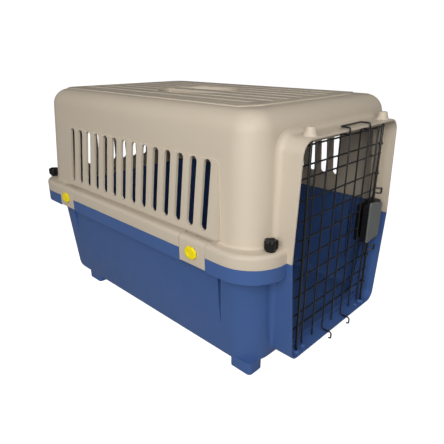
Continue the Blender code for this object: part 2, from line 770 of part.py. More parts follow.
def door_wires(steel, parent):
    """The welded grille, the bent wire that stays it on the neck, and the hinge rod."""
    uprights = bmesh.new()
    for index in (-3, -2, 0, 2, 3):
        x = index * VERTICAL_PITCH
        points = [(x, VERTICAL_Y, WIRE_BOTTOM_Z), (x, VERTICAL_Y, WIRE_TOP_Z)]
        wire(uprights, points, WIRE)
    grille = piece("door_grille", uprights, steel, parent)
    crossings = bmesh.new()
    for z in HORIZONTAL_ZS:
        blocked = HOUSING_Z[0] < z < HOUSING_Z[1]
        low_x = -TOP_WIRE_END if z == HORIZONTAL_ZS[-1] else -HORIZONTAL_END
        high_x = HOUSING_X[0] - 0.001 if blocked else HORIZONTAL_END
        wire(crossings, [(low_x, HORIZONTAL_Y, z), (high_x, HORIZONTAL_Y, z)], WIRE)
    combine(grille, "UNION", "cross_wires", crossings)
    combine(grille, "UNION", "rod_guides", rod_guides())
    piece("door_stay_wire", stay_wire(), steel, parent)
    rod = [(HINGE_X, ROD_Y, ROD_ENDS_Z[0]), (HINGE_X, ROD_Y, ROD_ENDS_Z[1])]
    piece("door_hinge_rod", wire(bmesh.new(), rod, ROD, 8), steel, parent)


def stay_wire():
    """One wire: hook, upright, loop over the neck, upright and hook again."""
    x = VERTICAL_PITCH
    sill, roof = SILL_Z + WALL + 0.0035, NECK_TOP_Z - WALL - 0.0030
    front, over, hook = LIP_Y - 0.0040, NECK_TOP_Z + 0.0032, LIP_Y - 0.0081
    side = [(x, LIP_Y - 0.0035, sill - 0.0115), (x, hook, sill - 0.0105)]
    side += [(x, hook, sill), (x, STAY_Y, sill), (x, STAY_Y, roof)]
    side += [(x, front, roof), (x, front, over), (x, LIP_Y + 0.011, over)]
    far = [(-px, py, pz) for px, py, pz in reversed(side)]
    return wire(bmesh.new(), bent(side + far, 0.0035), WIRE)


def rod_guides():
    """Rings on the cross wires in which the two latch rods slide."""
    rings = bmesh.new()
    for middle in (0.066, 0.120, 0.268, 0.317):
        section = [(0.0024, -0.0011), (0.0042, -0.0011), (0.0042, 0.0011), (0.0024, 0.0011)]
        loops = [circle(r, (LATCH_X, ROD_Y, middle + d), sides=10) for r, d in section]
        loft(rings, loops, closed=True)
    return rings


def latch_housing(black, grey, parent):
    """The case round both rods' inner ends, with a wing on the wires and a cover plate in front."""
    (left, right), (near, far) = HOUSING_X, HOUSING_Y
    outline = rounded([(left, near), (right, near), (right, far), (left, far)], [0.003] * 4, 2)
    case = loft(bmesh.new(), [[Vector((p.x, p.y, z)) for p in outline] for z in HOUSING_Z])
    body = piece("latch_housing", case, black, parent)
    for index, (front, back) in enumerate(WING_YS):
        wing = box(bmesh.new(), (WING_X[0], front, WING_Z[0]), (WING_X[1], back, WING_Z[1]))
        combine(body, "UNION", "housing_wing_%d" % index, wing)
    space = bmesh.new()
    half = MIDDLE_WALL / 2
    low_x, high_x = LATCH_X - SPRING_SPACE_HALF, LATCH_X + SPRING_SPACE_HALF
    for low, high in (
        (HOUSING_Z[0] + WALL, LATCH_MIDDLE_Z - half),
        (LATCH_MIDDLE_Z + half, HOUSING_Z[1] - WALL),
    ):
        box(space, (low_x, SPRING_SPACE_Y[0], low), (high_x, SPRING_SPACE_Y[1], high))
    combine(body, "DIFFERENCE", "spring_spaces", space)
    holes = bmesh.new()
    for low, high in (
        (HOUSING_Z[0] - 0.002, HOUSING_Z[0] + WALL + 0.002),
        (HOUSING_Z[1] - WALL - 0.002, HOUSING_Z[1] + 0.002),
    ):
        turned(holes, (LATCH_X, ROD_Y, low), [(SOCKET_HOLE, 0.0), (SOCKET_HOLE, high - low)], sides=12)
    combine(body, "DIFFERENCE", "housing_holes", holes)
    front = HOUSING_Y[0] - GAP
    outline = rounded(COVER_CORNERS, [0.003] * 4, 2)
    levels = (front - COVER_THICKNESS, front)
    cover = [[Vector((p.x, y, p.y)) for p in outline] for y in levels]
    piece("latch_cover", loft(bmesh.new(), cover), grey, parent)


def latch_rod(name, direction, steel, parent):
    """One sprung rod with its finger loop, thrust flange and spring. direction is +1 for the upper."""
    inner = LATCH_MIDDLE_Z + direction * ROD_INNER_END
    outer = ROD_ENDS_Z[1] if direction > 0 else ROD_ENDS_Z[0]
    slide = frame("axis_" + name, (LATCH_X, ROD_Y, inner), parent)
    rod = piece(name, wire(bmesh.new(), [(LATCH_X, ROD_Y, inner), (LATCH_X, ROD_Y, outer)], ROD, 8),
                steel, slide)
    flange = bmesh.new()
    low = min(inner, inner + direction * FLANGE_HEIGHT)
    profile = [(FLANGE_RADIUS, 0.0), (FLANGE_RADIUS, FLANGE_HEIGHT)]
    turned(flange, (LATCH_X, ROD_Y, low), profile, sides=12)
    combine(rod, "UNION", "flange_" + name, flange)
    start = HOUSING_Z[1 if direction > 0 else 0] + direction * FINGER_LOOP_START
    end = start + direction * FINGER_LOOP_HEIGHT
    near, far, front = LATCH_X + 0.003, LATCH_X + FINGER_LOOP_WIDTH, ROD_Y - FINGER_LOOP_REACH
    loop = [(LATCH_X, ROD_Y, start), (near, front, start), (far, front, start)]
    loop += [(far, front, end), (near, front, end), (LATCH_X, ROD_Y, end)]
    combine(rod, "UNION", "finger_loop_" + name, wire(bmesh.new(), bent(loop, 0.003, 2), 0.0014))
    seat = LATCH_MIDDLE_Z + direction * (MIDDLE_WALL / 2 + GAP)
    spring = name.replace("_rod", "_spring")
    piece(spring, wire(bmesh.new(), coil(seat, inner - direction * GAP), 0.00045, 5), steel, slide)


def coil(start, end):
    """The centre line of a helical spring between two heights."""
    turns, per_turn, radius = 5, 10, 0.0024
    count = turns * per_turn
    inset = math.copysign(0.00045, end - start)
    points = []
    for step in range(count + 1):
        angle = 2 * math.pi * step / per_turn
        height = start + inset + (end - start - 2 * inset) * step / count
        points.append((LATCH_X + radius * math.cos(angle), ROD_Y + radius * math.sin(angle), height))
    return points


def build():
    """Make the whole carrier."""
    clear_scene()
    beige = finish("beige_plastic", (0.55, 0.47, 0.37), 0.45)
    blue = finish("blue_plastic", (0.05, 0.10, 0.26), 0.42)
    black = finish("black_plastic", (0.012, 0.012, 0.013), 0.4)
    grey = finish("grey_plastic", (0.19, 0.19, 0.16), 0.35)
    yellow = finish("yellow_plastic", (0.90, 0.78, 0.01), 0.4)
    steel = finish("black_coated_wire", (0.01, 0.01, 0.011), 0.35)
    zinc = finish("zinc_plated_steel", (0.55, 0.56, 0.58), 0.35, 1.0)
    lower_shell(blue)
    lid = frame("axis_lid_lift", (0.0, 0.0, SEAM_Z))
    upper_shell(beige, lid)
    for corner, place in KNOB_PLACES.items():
        knob(corner, place, black, zinc, lid)
        nut(corner, place, zinc)
    for corner, (side, middle, width) in CLIP_PLACES.items():
        hinge = clip(corner, side, middle, width, beige, lid)
        button(corner, side, middle, yellow, hinge)
    door = frame("axis_door", (HINGE_X, ROD_Y, SILL_Z))
    door_wires(steel, door)
    latch_housing(black, grey, door)
    latch_rod("latch_upper_rod", 1, steel, door)
    latch_rod("latch_lower_rod", -1, steel, door)


build()
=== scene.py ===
import json
import math

import bmesh
import bpy
from mathutils import Matrix, Vector

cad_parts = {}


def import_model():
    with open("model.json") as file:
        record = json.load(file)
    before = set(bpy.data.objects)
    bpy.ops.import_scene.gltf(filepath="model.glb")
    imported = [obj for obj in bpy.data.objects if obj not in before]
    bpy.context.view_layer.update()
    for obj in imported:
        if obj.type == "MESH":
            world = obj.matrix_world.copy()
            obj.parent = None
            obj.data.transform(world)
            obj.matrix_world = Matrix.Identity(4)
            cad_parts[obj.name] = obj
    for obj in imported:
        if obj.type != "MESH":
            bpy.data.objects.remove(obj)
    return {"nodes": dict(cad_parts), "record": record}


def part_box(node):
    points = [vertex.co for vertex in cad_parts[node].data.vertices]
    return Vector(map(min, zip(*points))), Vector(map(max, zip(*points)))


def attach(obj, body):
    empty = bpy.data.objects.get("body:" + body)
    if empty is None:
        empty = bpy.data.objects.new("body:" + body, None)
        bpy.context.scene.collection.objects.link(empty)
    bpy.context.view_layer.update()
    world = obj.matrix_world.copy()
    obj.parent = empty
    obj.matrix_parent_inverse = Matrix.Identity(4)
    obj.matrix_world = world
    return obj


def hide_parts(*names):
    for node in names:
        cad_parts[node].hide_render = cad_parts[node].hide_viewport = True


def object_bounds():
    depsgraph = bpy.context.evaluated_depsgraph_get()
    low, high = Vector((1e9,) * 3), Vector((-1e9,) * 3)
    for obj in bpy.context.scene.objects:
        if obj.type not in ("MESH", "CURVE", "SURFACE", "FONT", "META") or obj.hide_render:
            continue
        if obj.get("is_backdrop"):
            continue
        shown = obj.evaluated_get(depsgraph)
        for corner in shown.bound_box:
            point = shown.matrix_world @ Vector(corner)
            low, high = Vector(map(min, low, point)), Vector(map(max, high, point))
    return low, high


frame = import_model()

CAD_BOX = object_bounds()

# Places in metres: the lip's place and the rim's half width are read from the imported model, the rest are given
LIP_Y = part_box("upper_shell")[0][1]
RIM_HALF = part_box("upper_shell")[1][0]
SEAM_Z = 0.190
ROOF_Z = 0.3882
PANEL_RISE = 0.0015
WALL = 0.003
GAP = 0.0003
CORNER_STEPS = 12
MIN_RADIUS = 0.004

# Rim
RIM_FRONT = LIP_Y + 0.0075
RIM_REAR = LIP_Y + 0.600
RIM_RADII = (0.060, 0.050)
SKIRT_Z = 0.169
RIM_TOP_Z = 0.2107
RIM_PLATE = 0.0048
RIM_ROUNDING = 0.0065

# Lower shell
FOOT_HEIGHT = 0.007
TUB_BOTTOM = (0.1748, LIP_Y + 0.039, LIP_Y + 0.566)
TUB_TOP = (0.188, LIP_Y + 0.031, LIP_Y + 0.579)
TUB_RADII = (0.045, 0.045)
TUB_ROUNDING = 0.016
FOOT_LENGTH = 0.041
FOOT_WIDTH = 0.030
FOOT_FRONTS = (LIP_Y + 0.041, LIP_Y + 0.456)
TUB_RECESS_X = 0.1815
TUB_RECESS_Z = (0.094, 0.1866)
TUB_RECESS_FRONT = (LIP_Y + 0.095, LIP_Y + 0.0885)
TUB_RECESS_REAR = LIP_Y + 0.510

# Upper shell
WALL_BASE = (0.1917, LIP_Y + 0.031, LIP_Y + 0.583)
WALL_TOP = (0.1816, LIP_Y + 0.038, LIP_Y + 0.573)
WALL_RADII = (0.040, 0.042)
ROOF_ROUNDING = 0.028
CREASE = 0.004
PANEL_HALF = 0.151
PANEL_FRONT = LIP_Y + 0.078
PANEL_REAR = LIP_Y + 0.558
PANEL_CHAMFER = 0.034
GROOVE_PITCH = 0.036
GROOVE_HALF = 0.009
GROOVE_DEPTH = 0.0009
BOWL_CENTRE = (0.0, LIP_Y + 0.325)
BOWL_RADIUS = 0.078
BOWL_FLOOR_RADIUS = 0.060
BOWL_DEPTH = 0.040
GRIP_HALF = 0.015
GRIP_HEIGHT = 0.014

# Vents
VENT_PITCH = 0.02765
VENT_HALF_WIDTH = 0.007
VENT_Z = (0.2238, 0.3228)
LEFT_MIDDLE_Y = LIP_Y + 0.2929
RIGHT_MIDDLE_Y = LIP_Y + 0.3026
LEFT_VENTS = 14
RIGHT_VENTS = 13
REAR_VENTS = 8
REAR_PITCH = 0.029
FIELD_Z = (0.2165, 0.3245)
FIELD_TOP_X = 0.1867
FIELD_SLOPE = 0.110
FIELD_THICKNESS = 0.0042
FIELD_RADIUS = 0.008
REAR_FIELD_Y = LIP_Y + 0.5762
REAR_FIELD_Z = (RIM_TOP_Z + 0.0012, 0.3245)
FIELD_WALL = 0.0052

# Door frame
SILL_Z = 0.0222
NECK_TOP_Z = 0.3553
NECK_HALVES = (0.1284, 0.144, 0.134)
NECK_RADII = (0.018, 0.022)
NECK_DEPTH = 0.050
NECK_FLARE = 0.009
RECESS_DEPTH = 0.020
LEDGE_WIDTH = 0.0095
LEDGE_THICKNESS = 0.003

# Door
WIRE = 0.0013
ROD = 0.002
ROD_Y = LIP_Y + 0.0088
VERTICAL_Y = LIP_Y + 0.0102
HORIZONTAL_Y = VERTICAL_Y + 2 * WIRE - GAP
STAY_Y = VERTICAL_Y - 2 * GAP
HINGE_X = -0.104
LATCH_X = 0.100
VERTICAL_PITCH = 0.0293
WIRE_BOTTOM_Z = 0.031
WIRE_TOP_Z = 0.3455
HORIZONTAL_ZS = (0.066, 0.089, 0.120, 0.150, 0.180, 0.210, 0.239, 0.268, 0.299, 0.317, 0.343)
HORIZONTAL_END = 0.115
TOP_WIRE_END = 0.1115
ROD_ENDS_Z = (0.0228, 0.3605)
SOCKET_HOLE = 0.0026

# Latch
HOUSING_X = (0.0905, 0.111)
HOUSING_Y = (LIP_Y - 0.001, LIP_Y + 0.020)
HOUSING_Z = (0.152, 0.222)
WING_X = (0.067, 0.0925)
WING_YS = ((LIP_Y - 0.001, LIP_Y + 0.0084), (LIP_Y + 0.0145, LIP_Y + 0.020))
WING_Z = (0.156, 0.219)
COVER_CORNERS = ((0.067, 0.1545), (0.109, 0.159), (0.109, 0.219), (0.067, 0.2265))
COVER_THICKNESS = 0.0028
LATCH_MIDDLE_Z = 0.187
MIDDLE_WALL = 0.0026
SPRING_SPACE_HALF = 0.0065
SPRING_SPACE_Y = (LIP_Y + 0.0030, LIP_Y + 0.0130)
ROD_INNER_END = 0.019
FLANGE_RADIUS = 0.0034
FLANGE_HEIGHT = 0.002
FINGER_LOOP_START = 0.0125
FINGER_LOOP_HEIGHT = 0.0085
FINGER_LOOP_WIDTH = 0.0065
FINGER_LOOP_REACH = 0.0095

# Clamp knobs and clips
KNOB_PLACES = {
    "front_left": (-0.163, LIP_Y + 0.021),
    "front_right": (0.163, LIP_Y + 0.021),
    "rear_left": (-0.183, LIP_Y + 0.584),
    "rear_right": (0.183, LIP_Y + 0.584),
}
KNOB_RADIUS = 0.0099
KNOB_HEIGHT = 0.0158
STUD_RADIUS = 0.003
CLIP_PLACES = {
    "front_left": (-1, LIP_Y + 0.1255, 0.054),
    "front_right": (1, LIP_Y + 0.1255, 0.054),
    "rear_left": (-1, LIP_Y + 0.487, 0.050),
    "rear_right": (1, LIP_Y + 0.487, 0.050),
}
CLIP_BOTTOM_Z = 0.170
CLIP_THICKNESS = 0.003
CLIP_SLIT = 0.0005
NOTCH_X = 0.1923
NOTCH_Z = 0.2046
PIVOT_X = 0.1956
PIVOT_Z = 0.2077
PIN_RADIUS = 0.0012
BUTTON_Z = 0.190
BUTTON_RADIUS = 0.0125
BUTTON_THICKNESS = 0.0036
BUTTON_FLATTER = 0.0022
SHAFT_RADIUS = 0.0035
CAM_HALF_LENGTH = 0.0068
CAM_HALF_WIDTH = 0.0028
CAM_X = (0.1998, 0.2023)
CAM_SLOT_X = 0.1975
CAM_SLOT_Z = 0.1850
CAM_ROOM = 0.0012


# Finishes


class Finish:
    """A Principled material that is built node by node."""

    def __init__(self, name):
        self.material = bpy.data.materials.new(name)
        self.material.use_nodes = True
        self.tree = self.material.node_tree
        self.shader = self.tree.nodes["Principled BSDF"]
        self.place = self.node("ShaderNodeTexCoord").outputs["Object"]

    def node(self, kind, inputs=None, **settings):
        """A node with its settings, and its inputs by name or number."""
        made = self.tree.nodes.new(kind)
        for key, value in settings.items():
            setattr(made, key, value)
        for key, value in (inputs or {}).items():
            self.feed(made.inputs[key], value)
        return made

    def feed(self, socket, value):
        """Link a socket's source, or set its value."""
        if isinstance(value, bpy.types.NodeSocket):
            self.tree.links.new(value, socket)
        else:
            socket.default_value = value

    def noise(self, scale, detail=2.0, roughness=0.5):
        """A noise value over the object's own space."""
        inputs = {"Vector": self.place, "Scale": scale, "Detail": detail, "Roughness": roughness}
        return self.node("ShaderNodeTexNoise", inputs).outputs["Fac"]

    def remap(self, value, low, high, to_low, to_high):
        """A value stretched from one range to another."""
        inputs = {"Value": value, 1: low, 2: high, 3: to_low, 4: to_high}
        return self.node("ShaderNodeMapRange", inputs).outputs["Result"]

    def math(self, operation, a, b=0.0):
        """One sum."""
        return self.node("ShaderNodeMath", {0: a, 1: b}, operation=operation).outputs[0]

    def mix(self, share, a, b):
        """A blend of two colours."""
        made = self.node("ShaderNodeMix", data_type="RGBA")
        self.feed(made.inputs[0], share)
        self.feed(made.inputs[6], a)
        self.feed(made.inputs[7], b)
        return made.outputs[2]

    def edges(self, radius):
        """How sharply the surface turns within a radius: 0 on flats, 1 on hard edges."""
        soft = self.node("ShaderNodeBevel", {"Radius": radius}, samples=6).outputs["Normal"]
        flat = self.node("ShaderNodeNewGeometry").outputs["Normal"]
        dot = self.node("ShaderNodeVectorMath", {0: soft, 1: flat}, operation="DOT_PRODUCT")
        return self.remap(dot.outputs["Value"], 0.995, 0.80, 0.0, 1.0)

    def bump(self, heights):
        """Bumps from (height, strength, distance) rows."""
        normal = None
        for height, strength, distance in heights:
            inputs = {"Height": height, "Strength": strength, "Distance": distance}
            if normal:
                inputs["Normal"] = normal
            normal = self.node("ShaderNodeBump", inputs).outputs["Normal"]
        self.feed(self.shader.inputs["Normal"], normal)

    def set(self, **values):
        """Values that are the same all over, straight on the shader's sockets."""
        for key, value in values.items():
            self.feed(self.shader.inputs[key.replace("_", " ").title()], value)


def rgb(*values):
    """A colour with its alpha."""
    return (*values, 1.0)


def moulded(name, base, shade, worn, roughness, grain=0.12, mottle=0.5):
    """Moulded plastic: faint clouding, a fine spark-eroded grain and slightly worn edges."""
    made = Finish(name)
    cloud = made.remap(made.noise(5.0, 3.0), 0.35, 0.65, 0.0, mottle)
    colour = made.mix(cloud, rgb(*base), rgb(*shade))
    speck = made.remap(made.noise(420.0, 2.0), 0.62, 0.80, 0.0, 0.25)
    colour = made.mix(speck, colour, rgb(*shade))
    edge = made.edges(0.0012)
    scuff = made.remap(made.noise(90.0, 4.0, 0.7), 0.45, 0.62, 0.25, 1.0)
    colour = made.mix(made.math("MULTIPLY", made.math("MULTIPLY", edge, scuff), 0.55), colour, rgb(*worn))
    made.feed(made.shader.inputs["Base Color"], colour)
    gloss = made.remap(made.noise(35.0, 4.0), 0.3, 0.7, roughness - 0.05, roughness + 0.06)
    made.feed(made.shader.inputs["Roughness"], gloss)
    rows = [(made.noise(1500.0, 2.0), grain, 0.0002), (made.noise(26.0, 1.0), 0.06, 0.002)]
    made.bump(rows)
    made.feed(made.shader.inputs["Specular IOR Level"], 0.25)
    return made


def finishes():
    """Every finish, by the record's slot name."""
    made = {
        "beige_plastic": moulded(
            "beige_plastic", (0.56, 0.485, 0.385), (0.525, 0.45, 0.355), (0.68, 0.61, 0.51), 0.42
        ),
        "blue_plastic": moulded(
            "blue_plastic", (0.054, 0.112, 0.290), (0.046, 0.098, 0.260), (0.12, 0.21, 0.45), 0.40
        ),
        "black_plastic": moulded(
            "black_plastic", (0.009, 0.009, 0.010), (0.006, 0.006, 0.007), (0.04, 0.04, 0.042), 0.38, 0.2
        ),
        # painted reflection: this grey stands in for the sheen that dark plastic shows at a grazing angle, put
        # into the base colour
        "grey_plastic": moulded(
            "grey_plastic", (0.150, 0.160, 0.152), (0.12, 0.130, 0.125), (0.28, 0.29, 0.27), 0.38, 0.15
        ),
        "yellow_plastic": moulded(
            "yellow_plastic", (0.88, 0.72, 0.004), (0.80, 0.62, 0.003), (0.95, 0.84, 0.08), 0.34, 0.06
        ),
    }
    made["black_coated_wire"] = coated_wire()
    made["zinc_steel"] = metal("zinc_steel", (0.62, 0.63, 0.64), (0.44, 0.45, 0.48), 0.30, 240.0)
    made["spring_steel"] = metal("spring_steel", (0.50, 0.49, 0.47), (0.32, 0.31, 0.30), 0.26, 500.0)
    return {slot: finish.material for slot, finish in made.items()}


def coated_wire():
    """Black dipped steel wire: a smooth skin with small runs, dulled and chipped grey in places."""
    made = Finish("black_coated_wire")
    rub = made.remap(made.noise(70.0, 5.0, 0.65), 0.56, 0.74, 0.0, 0.6)
    made.feed(made.shader.inputs["Base Color"], made.mix(rub, rgb(0.006, 0.006, 0.007), rgb(0.025, 0.025, 0.026)))
    gloss = made.remap(made.noise(160.0, 3.0), 0.3, 0.7, 0.26, 0.42)
    made.feed(made.shader.inputs["Roughness"], gloss)
    made.set(coat_weight=0.25, coat_roughness=0.18)
    made.bump([(made.noise(380.0, 3.0), 0.12, 0.0003)])
    return made


def metal(name, bright, dull, roughness, scale):
    """Plated steel with a spangled, slightly stained surface."""
    made = Finish(name)
    cell = made.node("ShaderNodeTexVoronoi", {"Vector": made.place, "Scale": scale}).outputs["Distance"]
    stain = made.remap(made.noise(60.0, 4.0), 0.4, 0.7, 0.0, 0.6)
    colour = made.mix(made.remap(cell, 0.0, 0.7, 0.0, 0.7), rgb(*bright), rgb(*dull))
    made.feed(made.shader.inputs["Base Color"], made.mix(stain, colour, rgb(*dull)))
    made.feed(made.shader.inputs["Roughness"], made.remap(cell, 0.0, 0.8, roughness, roughness + 0.18))
    made.set(metallic=1.0)
    made.bump([(made.noise(700.0, 3.0), 0.12, 0.0002)])
    return made


# Outlines


def rounded(corners, radii, steps=CORNER_STEPS):
    """The outline of a polygon whose corners become arcs. A zero radius keeps its corner."""
    outline = []
    for index, (corner, radius) in enumerate(zip(corners, radii)):
        corner = Vector(corner)
        if radius == 0:
            outline.append(corner)
            continue
        back = (Vector(corners[index - 1]) - corner).normalized()
        ahead = (Vector(corners[(index + 1) % len(corners)]) - corner).normalized()
        half = back.angle(ahead) / 2
        centre = corner + (back + ahead).normalized() * radius / math.sin(half)
        start = corner + back * radius / math.tan(half) - centre
        end = corner + ahead * radius / math.tan(half) - centre
        sweep = math.atan2(start.cross(end), start.dot(end))
        for step in range(steps + 1):
            outline.append(centre + Matrix.Rotation(sweep * step / steps, 2) @ start)
    return outline


def plan(size, radii, z, inset=0.0):
    """A rounded rectangle seen from above. size is (half width, front, rear)."""
    half, front, rear = size[0] - inset, size[1] + inset, size[2] - inset
    corners = [(-half, front), (half, front), (half, rear), (-half, rear)]
    front_radius, rear_radius = (max(radius - inset, MIN_RADIUS) for radius in radii)
    outline = rounded(corners, [front_radius, front_radius, rear_radius, rear_radius])
    return [Vector((p.x, p.y, z)) for p in outline]


def between(low, high, share):
    """The size part way from one section to another."""
    return tuple(a + (b - a) * share for a, b in zip(low, high))


def quarter_steps(count):
    """Angles of a quarter turn, ends included."""
    return [math.pi / 2 * step / count for step in range(count + 1)]


def ordered(a, b):
    """Two values with the lower one first."""
    return (a, b) if a < b else (b, a)


def circle(radius, centre, axis="Z", sides=24, phase=0.0):
    """A loop round a centre, square to one of the main axes."""
    turn = [phase + 2 * math.pi * i / sides for i in range(sides)]
    flat = [(radius * math.cos(a), radius * math.sin(a)) for a in turn]
    place = {
        "X": lambda a, b: Vector((0, a, b)),
        "Y": lambda a, b: Vector((a, 0, b)),
        "Z": lambda a, b: Vector((a, b, 0)),
    }[axis]
    return [Vector(centre) + place(a, b) for a, b in flat]


# Bodies


def loft(bm, loops, closed=False):
    """Join a stack of equal loops: with flat ends, or back to the first loop when closed."""
    rings = [[bm.verts.new(point) for point in loop] for loop in loops]
    pairs = list(zip(rings, rings[1:]))
    if closed:
        pairs.append((rings[-1], rings[0]))
    for lower, upper in pairs:
        for i in range(len(lower)):
            j = (i + 1) % len(lower)
            bm.faces.new((lower[i], lower[j], upper[j], upper[i]))
    if not closed:
        bm.faces.new(reversed(rings[0]))
        bm.faces.new(rings[-1])
    return bm


def box(bm, low, high):
    """A box between two corners."""
    loops = []
    for z in (low[2], high[2]):
        corners = [(low[0], low[1]), (high[0], low[1]), (high[0], high[1]), (low[0], high[1])]
        loops.append([Vector((x, y, z)) for x, y in corners])
    return loft(bm, loops)


def turned(bm, centre, profile, axis="Z", sides=24):
    """A turned body: profile holds (radius, distance along the axis) pairs."""
    direction = {"X": Vector((1, 0, 0)), "Y": Vector((0, 1, 0)), "Z": Vector((0, 0, 1))}[axis]
    loops = [circle(r, Vector(centre) + direction * d, axis, sides) for r, d in profile]
    return loft(bm, loops)


def wire(bm, points, radius, sides=10, dome=True):
    """A round wire along a route, with rounded ends."""
    route = [Vector(point) for point in points]
    radii = [radius] * len(route)
    if dome:
        for end, beside in ((0, 1), (-1, -2)):
            along = (route[end] - route[beside]).normalized()
            tip = route[end]
            rows = [(tip - along * radius * 0.75, 1.0), (tip - along * radius * 0.25, 0.82), (tip, 0.45)]
            points_here = [row[0] for row in rows]
            radii_here = [radius * row[1] for row in rows]
            if end == 0:
                route[:1] = reversed(points_here)
                radii[:1] = reversed(radii_here)
            else:
                route[-1:] = points_here
                radii[-1:] = radii_here
    loops = []
    normal = None
    for index, (point, size) in enumerate(zip(route, radii)):
        back = route[max(index - 1, 0)]
        ahead = route[min(index + 1, len(route) - 1)]
        along = (ahead - back).normalized()
        if normal is None:
            normal = along.orthogonal().normalized()
        normal = (normal - along * normal.dot(along)).normalized()
        side = along.cross(normal)
        turn = [2 * math.pi * (i + 0.5) / sides for i in range(sides)]
        loops.append([point + (normal * math.cos(a) + side * math.sin(a)) * size for a in turn])
    return loft(bm, loops)


def bent(points, radius, steps=6):
    """A route whose bends become arcs of about one radius."""
    route = [Vector(points[0])]
    for index in range(1, len(points) - 1):
        corner = Vector(points[index])
        back = Vector(points[index - 1]) - corner
        ahead = Vector(points[index + 1]) - corner
        reach = min(radius, back.length * 0.45, ahead.length * 0.45)
        start = corner + back.normalized() * reach
        end = corner + ahead.normalized() * reach
        for step in range(steps + 1):
            t = step / steps
            route.append(start * (1 - t) ** 2 + corner * 2 * t * (1 - t) + end * t * t)
    route.append(Vector(points[-1]))
    return route


def new_object(name, bm):
    """Turn a bmesh into an object at the origin."""
    bmesh.ops.recalc_face_normals(bm, faces=bm.faces)
    mesh = bpy.data.meshes.new(name)
    bm.to_mesh(mesh)
    bm.free()
    obj = bpy.data.objects.new(name, mesh)
    bpy.context.collection.objects.link(obj)
    return obj


def combine(target, operation, name, bm):
    """Add a Boolean with a new tool body to the target."""
    modifier = target.modifiers.new(name, "BOOLEAN")
    modifier.operation = operation
    modifier.solver = "EXACT"
    modifier.object = new_object("tool_" + name, bm)


def settle(obj):
    """Apply an object's Booleans and remove their tool bodies."""
    tools = [modifier.object for modifier in obj.modifiers if modifier.type == "BOOLEAN"]
    graph = bpy.context.evaluated_depsgraph_get()
    mesh = bpy.data.meshes.new_from_object(obj.evaluated_get(graph))
    obj.modifiers.clear()
    obj.data = mesh
    for body in tools:
        bpy.data.objects.remove(body, do_unlink=True)
    bm = bmesh.new()
    bm.from_mesh(mesh)
    bmesh.ops.remove_doubles(bm, verts=bm.verts, dist=1e-5)
    bmesh.ops.dissolve_degenerate(bm, dist=1e-5, edges=bm.edges)
    bm.to_mesh(mesh)
    bm.free()


def soften(obj, width, segments=2, angle=30.0):
    """Round an object's sharp edges."""
    modifier = obj.modifiers.new("edges", "BEVEL")
    modifier.width = width
    modifier.segments = segments
    modifier.limit_method = "ANGLE"
    modifier.angle_limit = math.radians(angle)
    modifier.harden_normals = True
    modifier.use_clamp_overlap = True


def show(obj, slot, body, nodes=(), bevel=0.0, segments=2, smooth=40.0):
    """Give a finished piece its material, body, slot and CAD nodes."""
    if obj.modifiers:
        settle(obj)
    obj.data.materials.clear()
    obj.data.materials.append(FINISHES[slot])
    obj.data.shade_smooth()
    if bevel:
        soften(obj, bevel, segments)
    else:
        obj.data.set_sharp_from_angle(angle=math.radians(smooth))
    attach(obj, body)
    if nodes:
        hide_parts(*nodes)
    return obj


# Shells


def tub_section(z, inset=0.0):
    """The lower shell's wall outline at a height."""
    share = (z - FOOT_HEIGHT) / (SEAM_Z - FOOT_HEIGHT)
    return plan(between(TUB_BOTTOM, TUB_TOP, share), TUB_RADII, z, inset)


def rim_section(z, inset=0.0):
    """The rim's outline."""
    return plan((RIM_HALF, RIM_FRONT, RIM_REAR), RIM_RADII, z, inset)


def wall_section(z, inset=0.0):
    """The upper shell's wall outline at a height."""
    share = (z - RIM_TOP_Z) / (ROOF_Z - RIM_TOP_Z)
    return plan(between(WALL_BASE, WALL_TOP, share), WALL_RADII, z, inset)


def front_wall(z):
    """How far the front walls stand behind the door frame's lip at a height."""
    if z < SEAM_Z:
        return between(TUB_BOTTOM, TUB_TOP, (z - FOOT_HEIGHT) / (SEAM_Z - FOOT_HEIGHT))[1] - LIP_Y
    share = max(0.0, (z - RIM_TOP_Z) / (ROOF_Z - RIM_TOP_Z))
    return between(WALL_BASE, WALL_TOP, share)[1] - LIP_Y


def neck_outline(inset, part="whole"):
    """The door frame's outline in X and Z: below the seam, above it, or whole."""
    low, seam, top = (half - inset for half in NECK_HALVES)
    bottom_radius, top_radius = (max(radius - inset, MIN_RADIUS) for radius in NECK_RADII)
    sill = [(-low, SILL_Z + inset), (low, SILL_Z + inset)]
    roof = [(top, NECK_TOP_Z - inset), (-top, NECK_TOP_Z - inset)]
    if part == "lower":
        return rounded(sill + [(seam, SEAM_Z), (-seam, SEAM_Z)], [bottom_radius] * 2 + [0, 0])
    if part == "upper":
        edge = [(-seam, SEAM_Z + GAP), (seam, SEAM_Z + GAP)]
        return rounded(edge + roof, [0, 0] + [top_radius] * 2)
    radii = [bottom_radius] * 2 + [0] + [top_radius] * 2 + [0]
    return rounded(sill + [(seam, SEAM_Z)] + roof + [(-seam, SEAM_Z)], radii)


def neck_body(part, stations):
    """A body along Y: stations hold (distance behind the lip, inset) pairs."""
    loops = []
    for depth, inset in stations:
        loops.append([Vector((p.x, LIP_Y + depth, p.y)) for p in neck_outline(inset, part)])
    return loft(bmesh.new(), loops)


def flared_neck(part):
    """The door frame's outer body: a thin rounded lip, and a hollow curve into the front wall."""
    plain, wide = neck_outline(0.0, part), neck_outline(-NECK_FLARE, part)
    edge = [(0.0, 0.0007), (0.0002, 0.0003), (0.0007, 0.0)]
    loops = [[Vector((p.x, LIP_Y + d, p.y)) for p in neck_outline(inset, part)] for d, inset in edge]
    for step in range(8):
        angle = math.radians(80) * step / 7
        loops.append([flared_point(p, q, angle) for p, q in zip(plain, wide)])
    last = [point + Vector((0.0, 0.004, 0.0)) for point in loops[-1]]
    loops.append(last)
    loops.append([Vector((p.x, LIP_Y + NECK_DEPTH, p.z)) for p in last])
    return loft(bmesh.new(), loops)


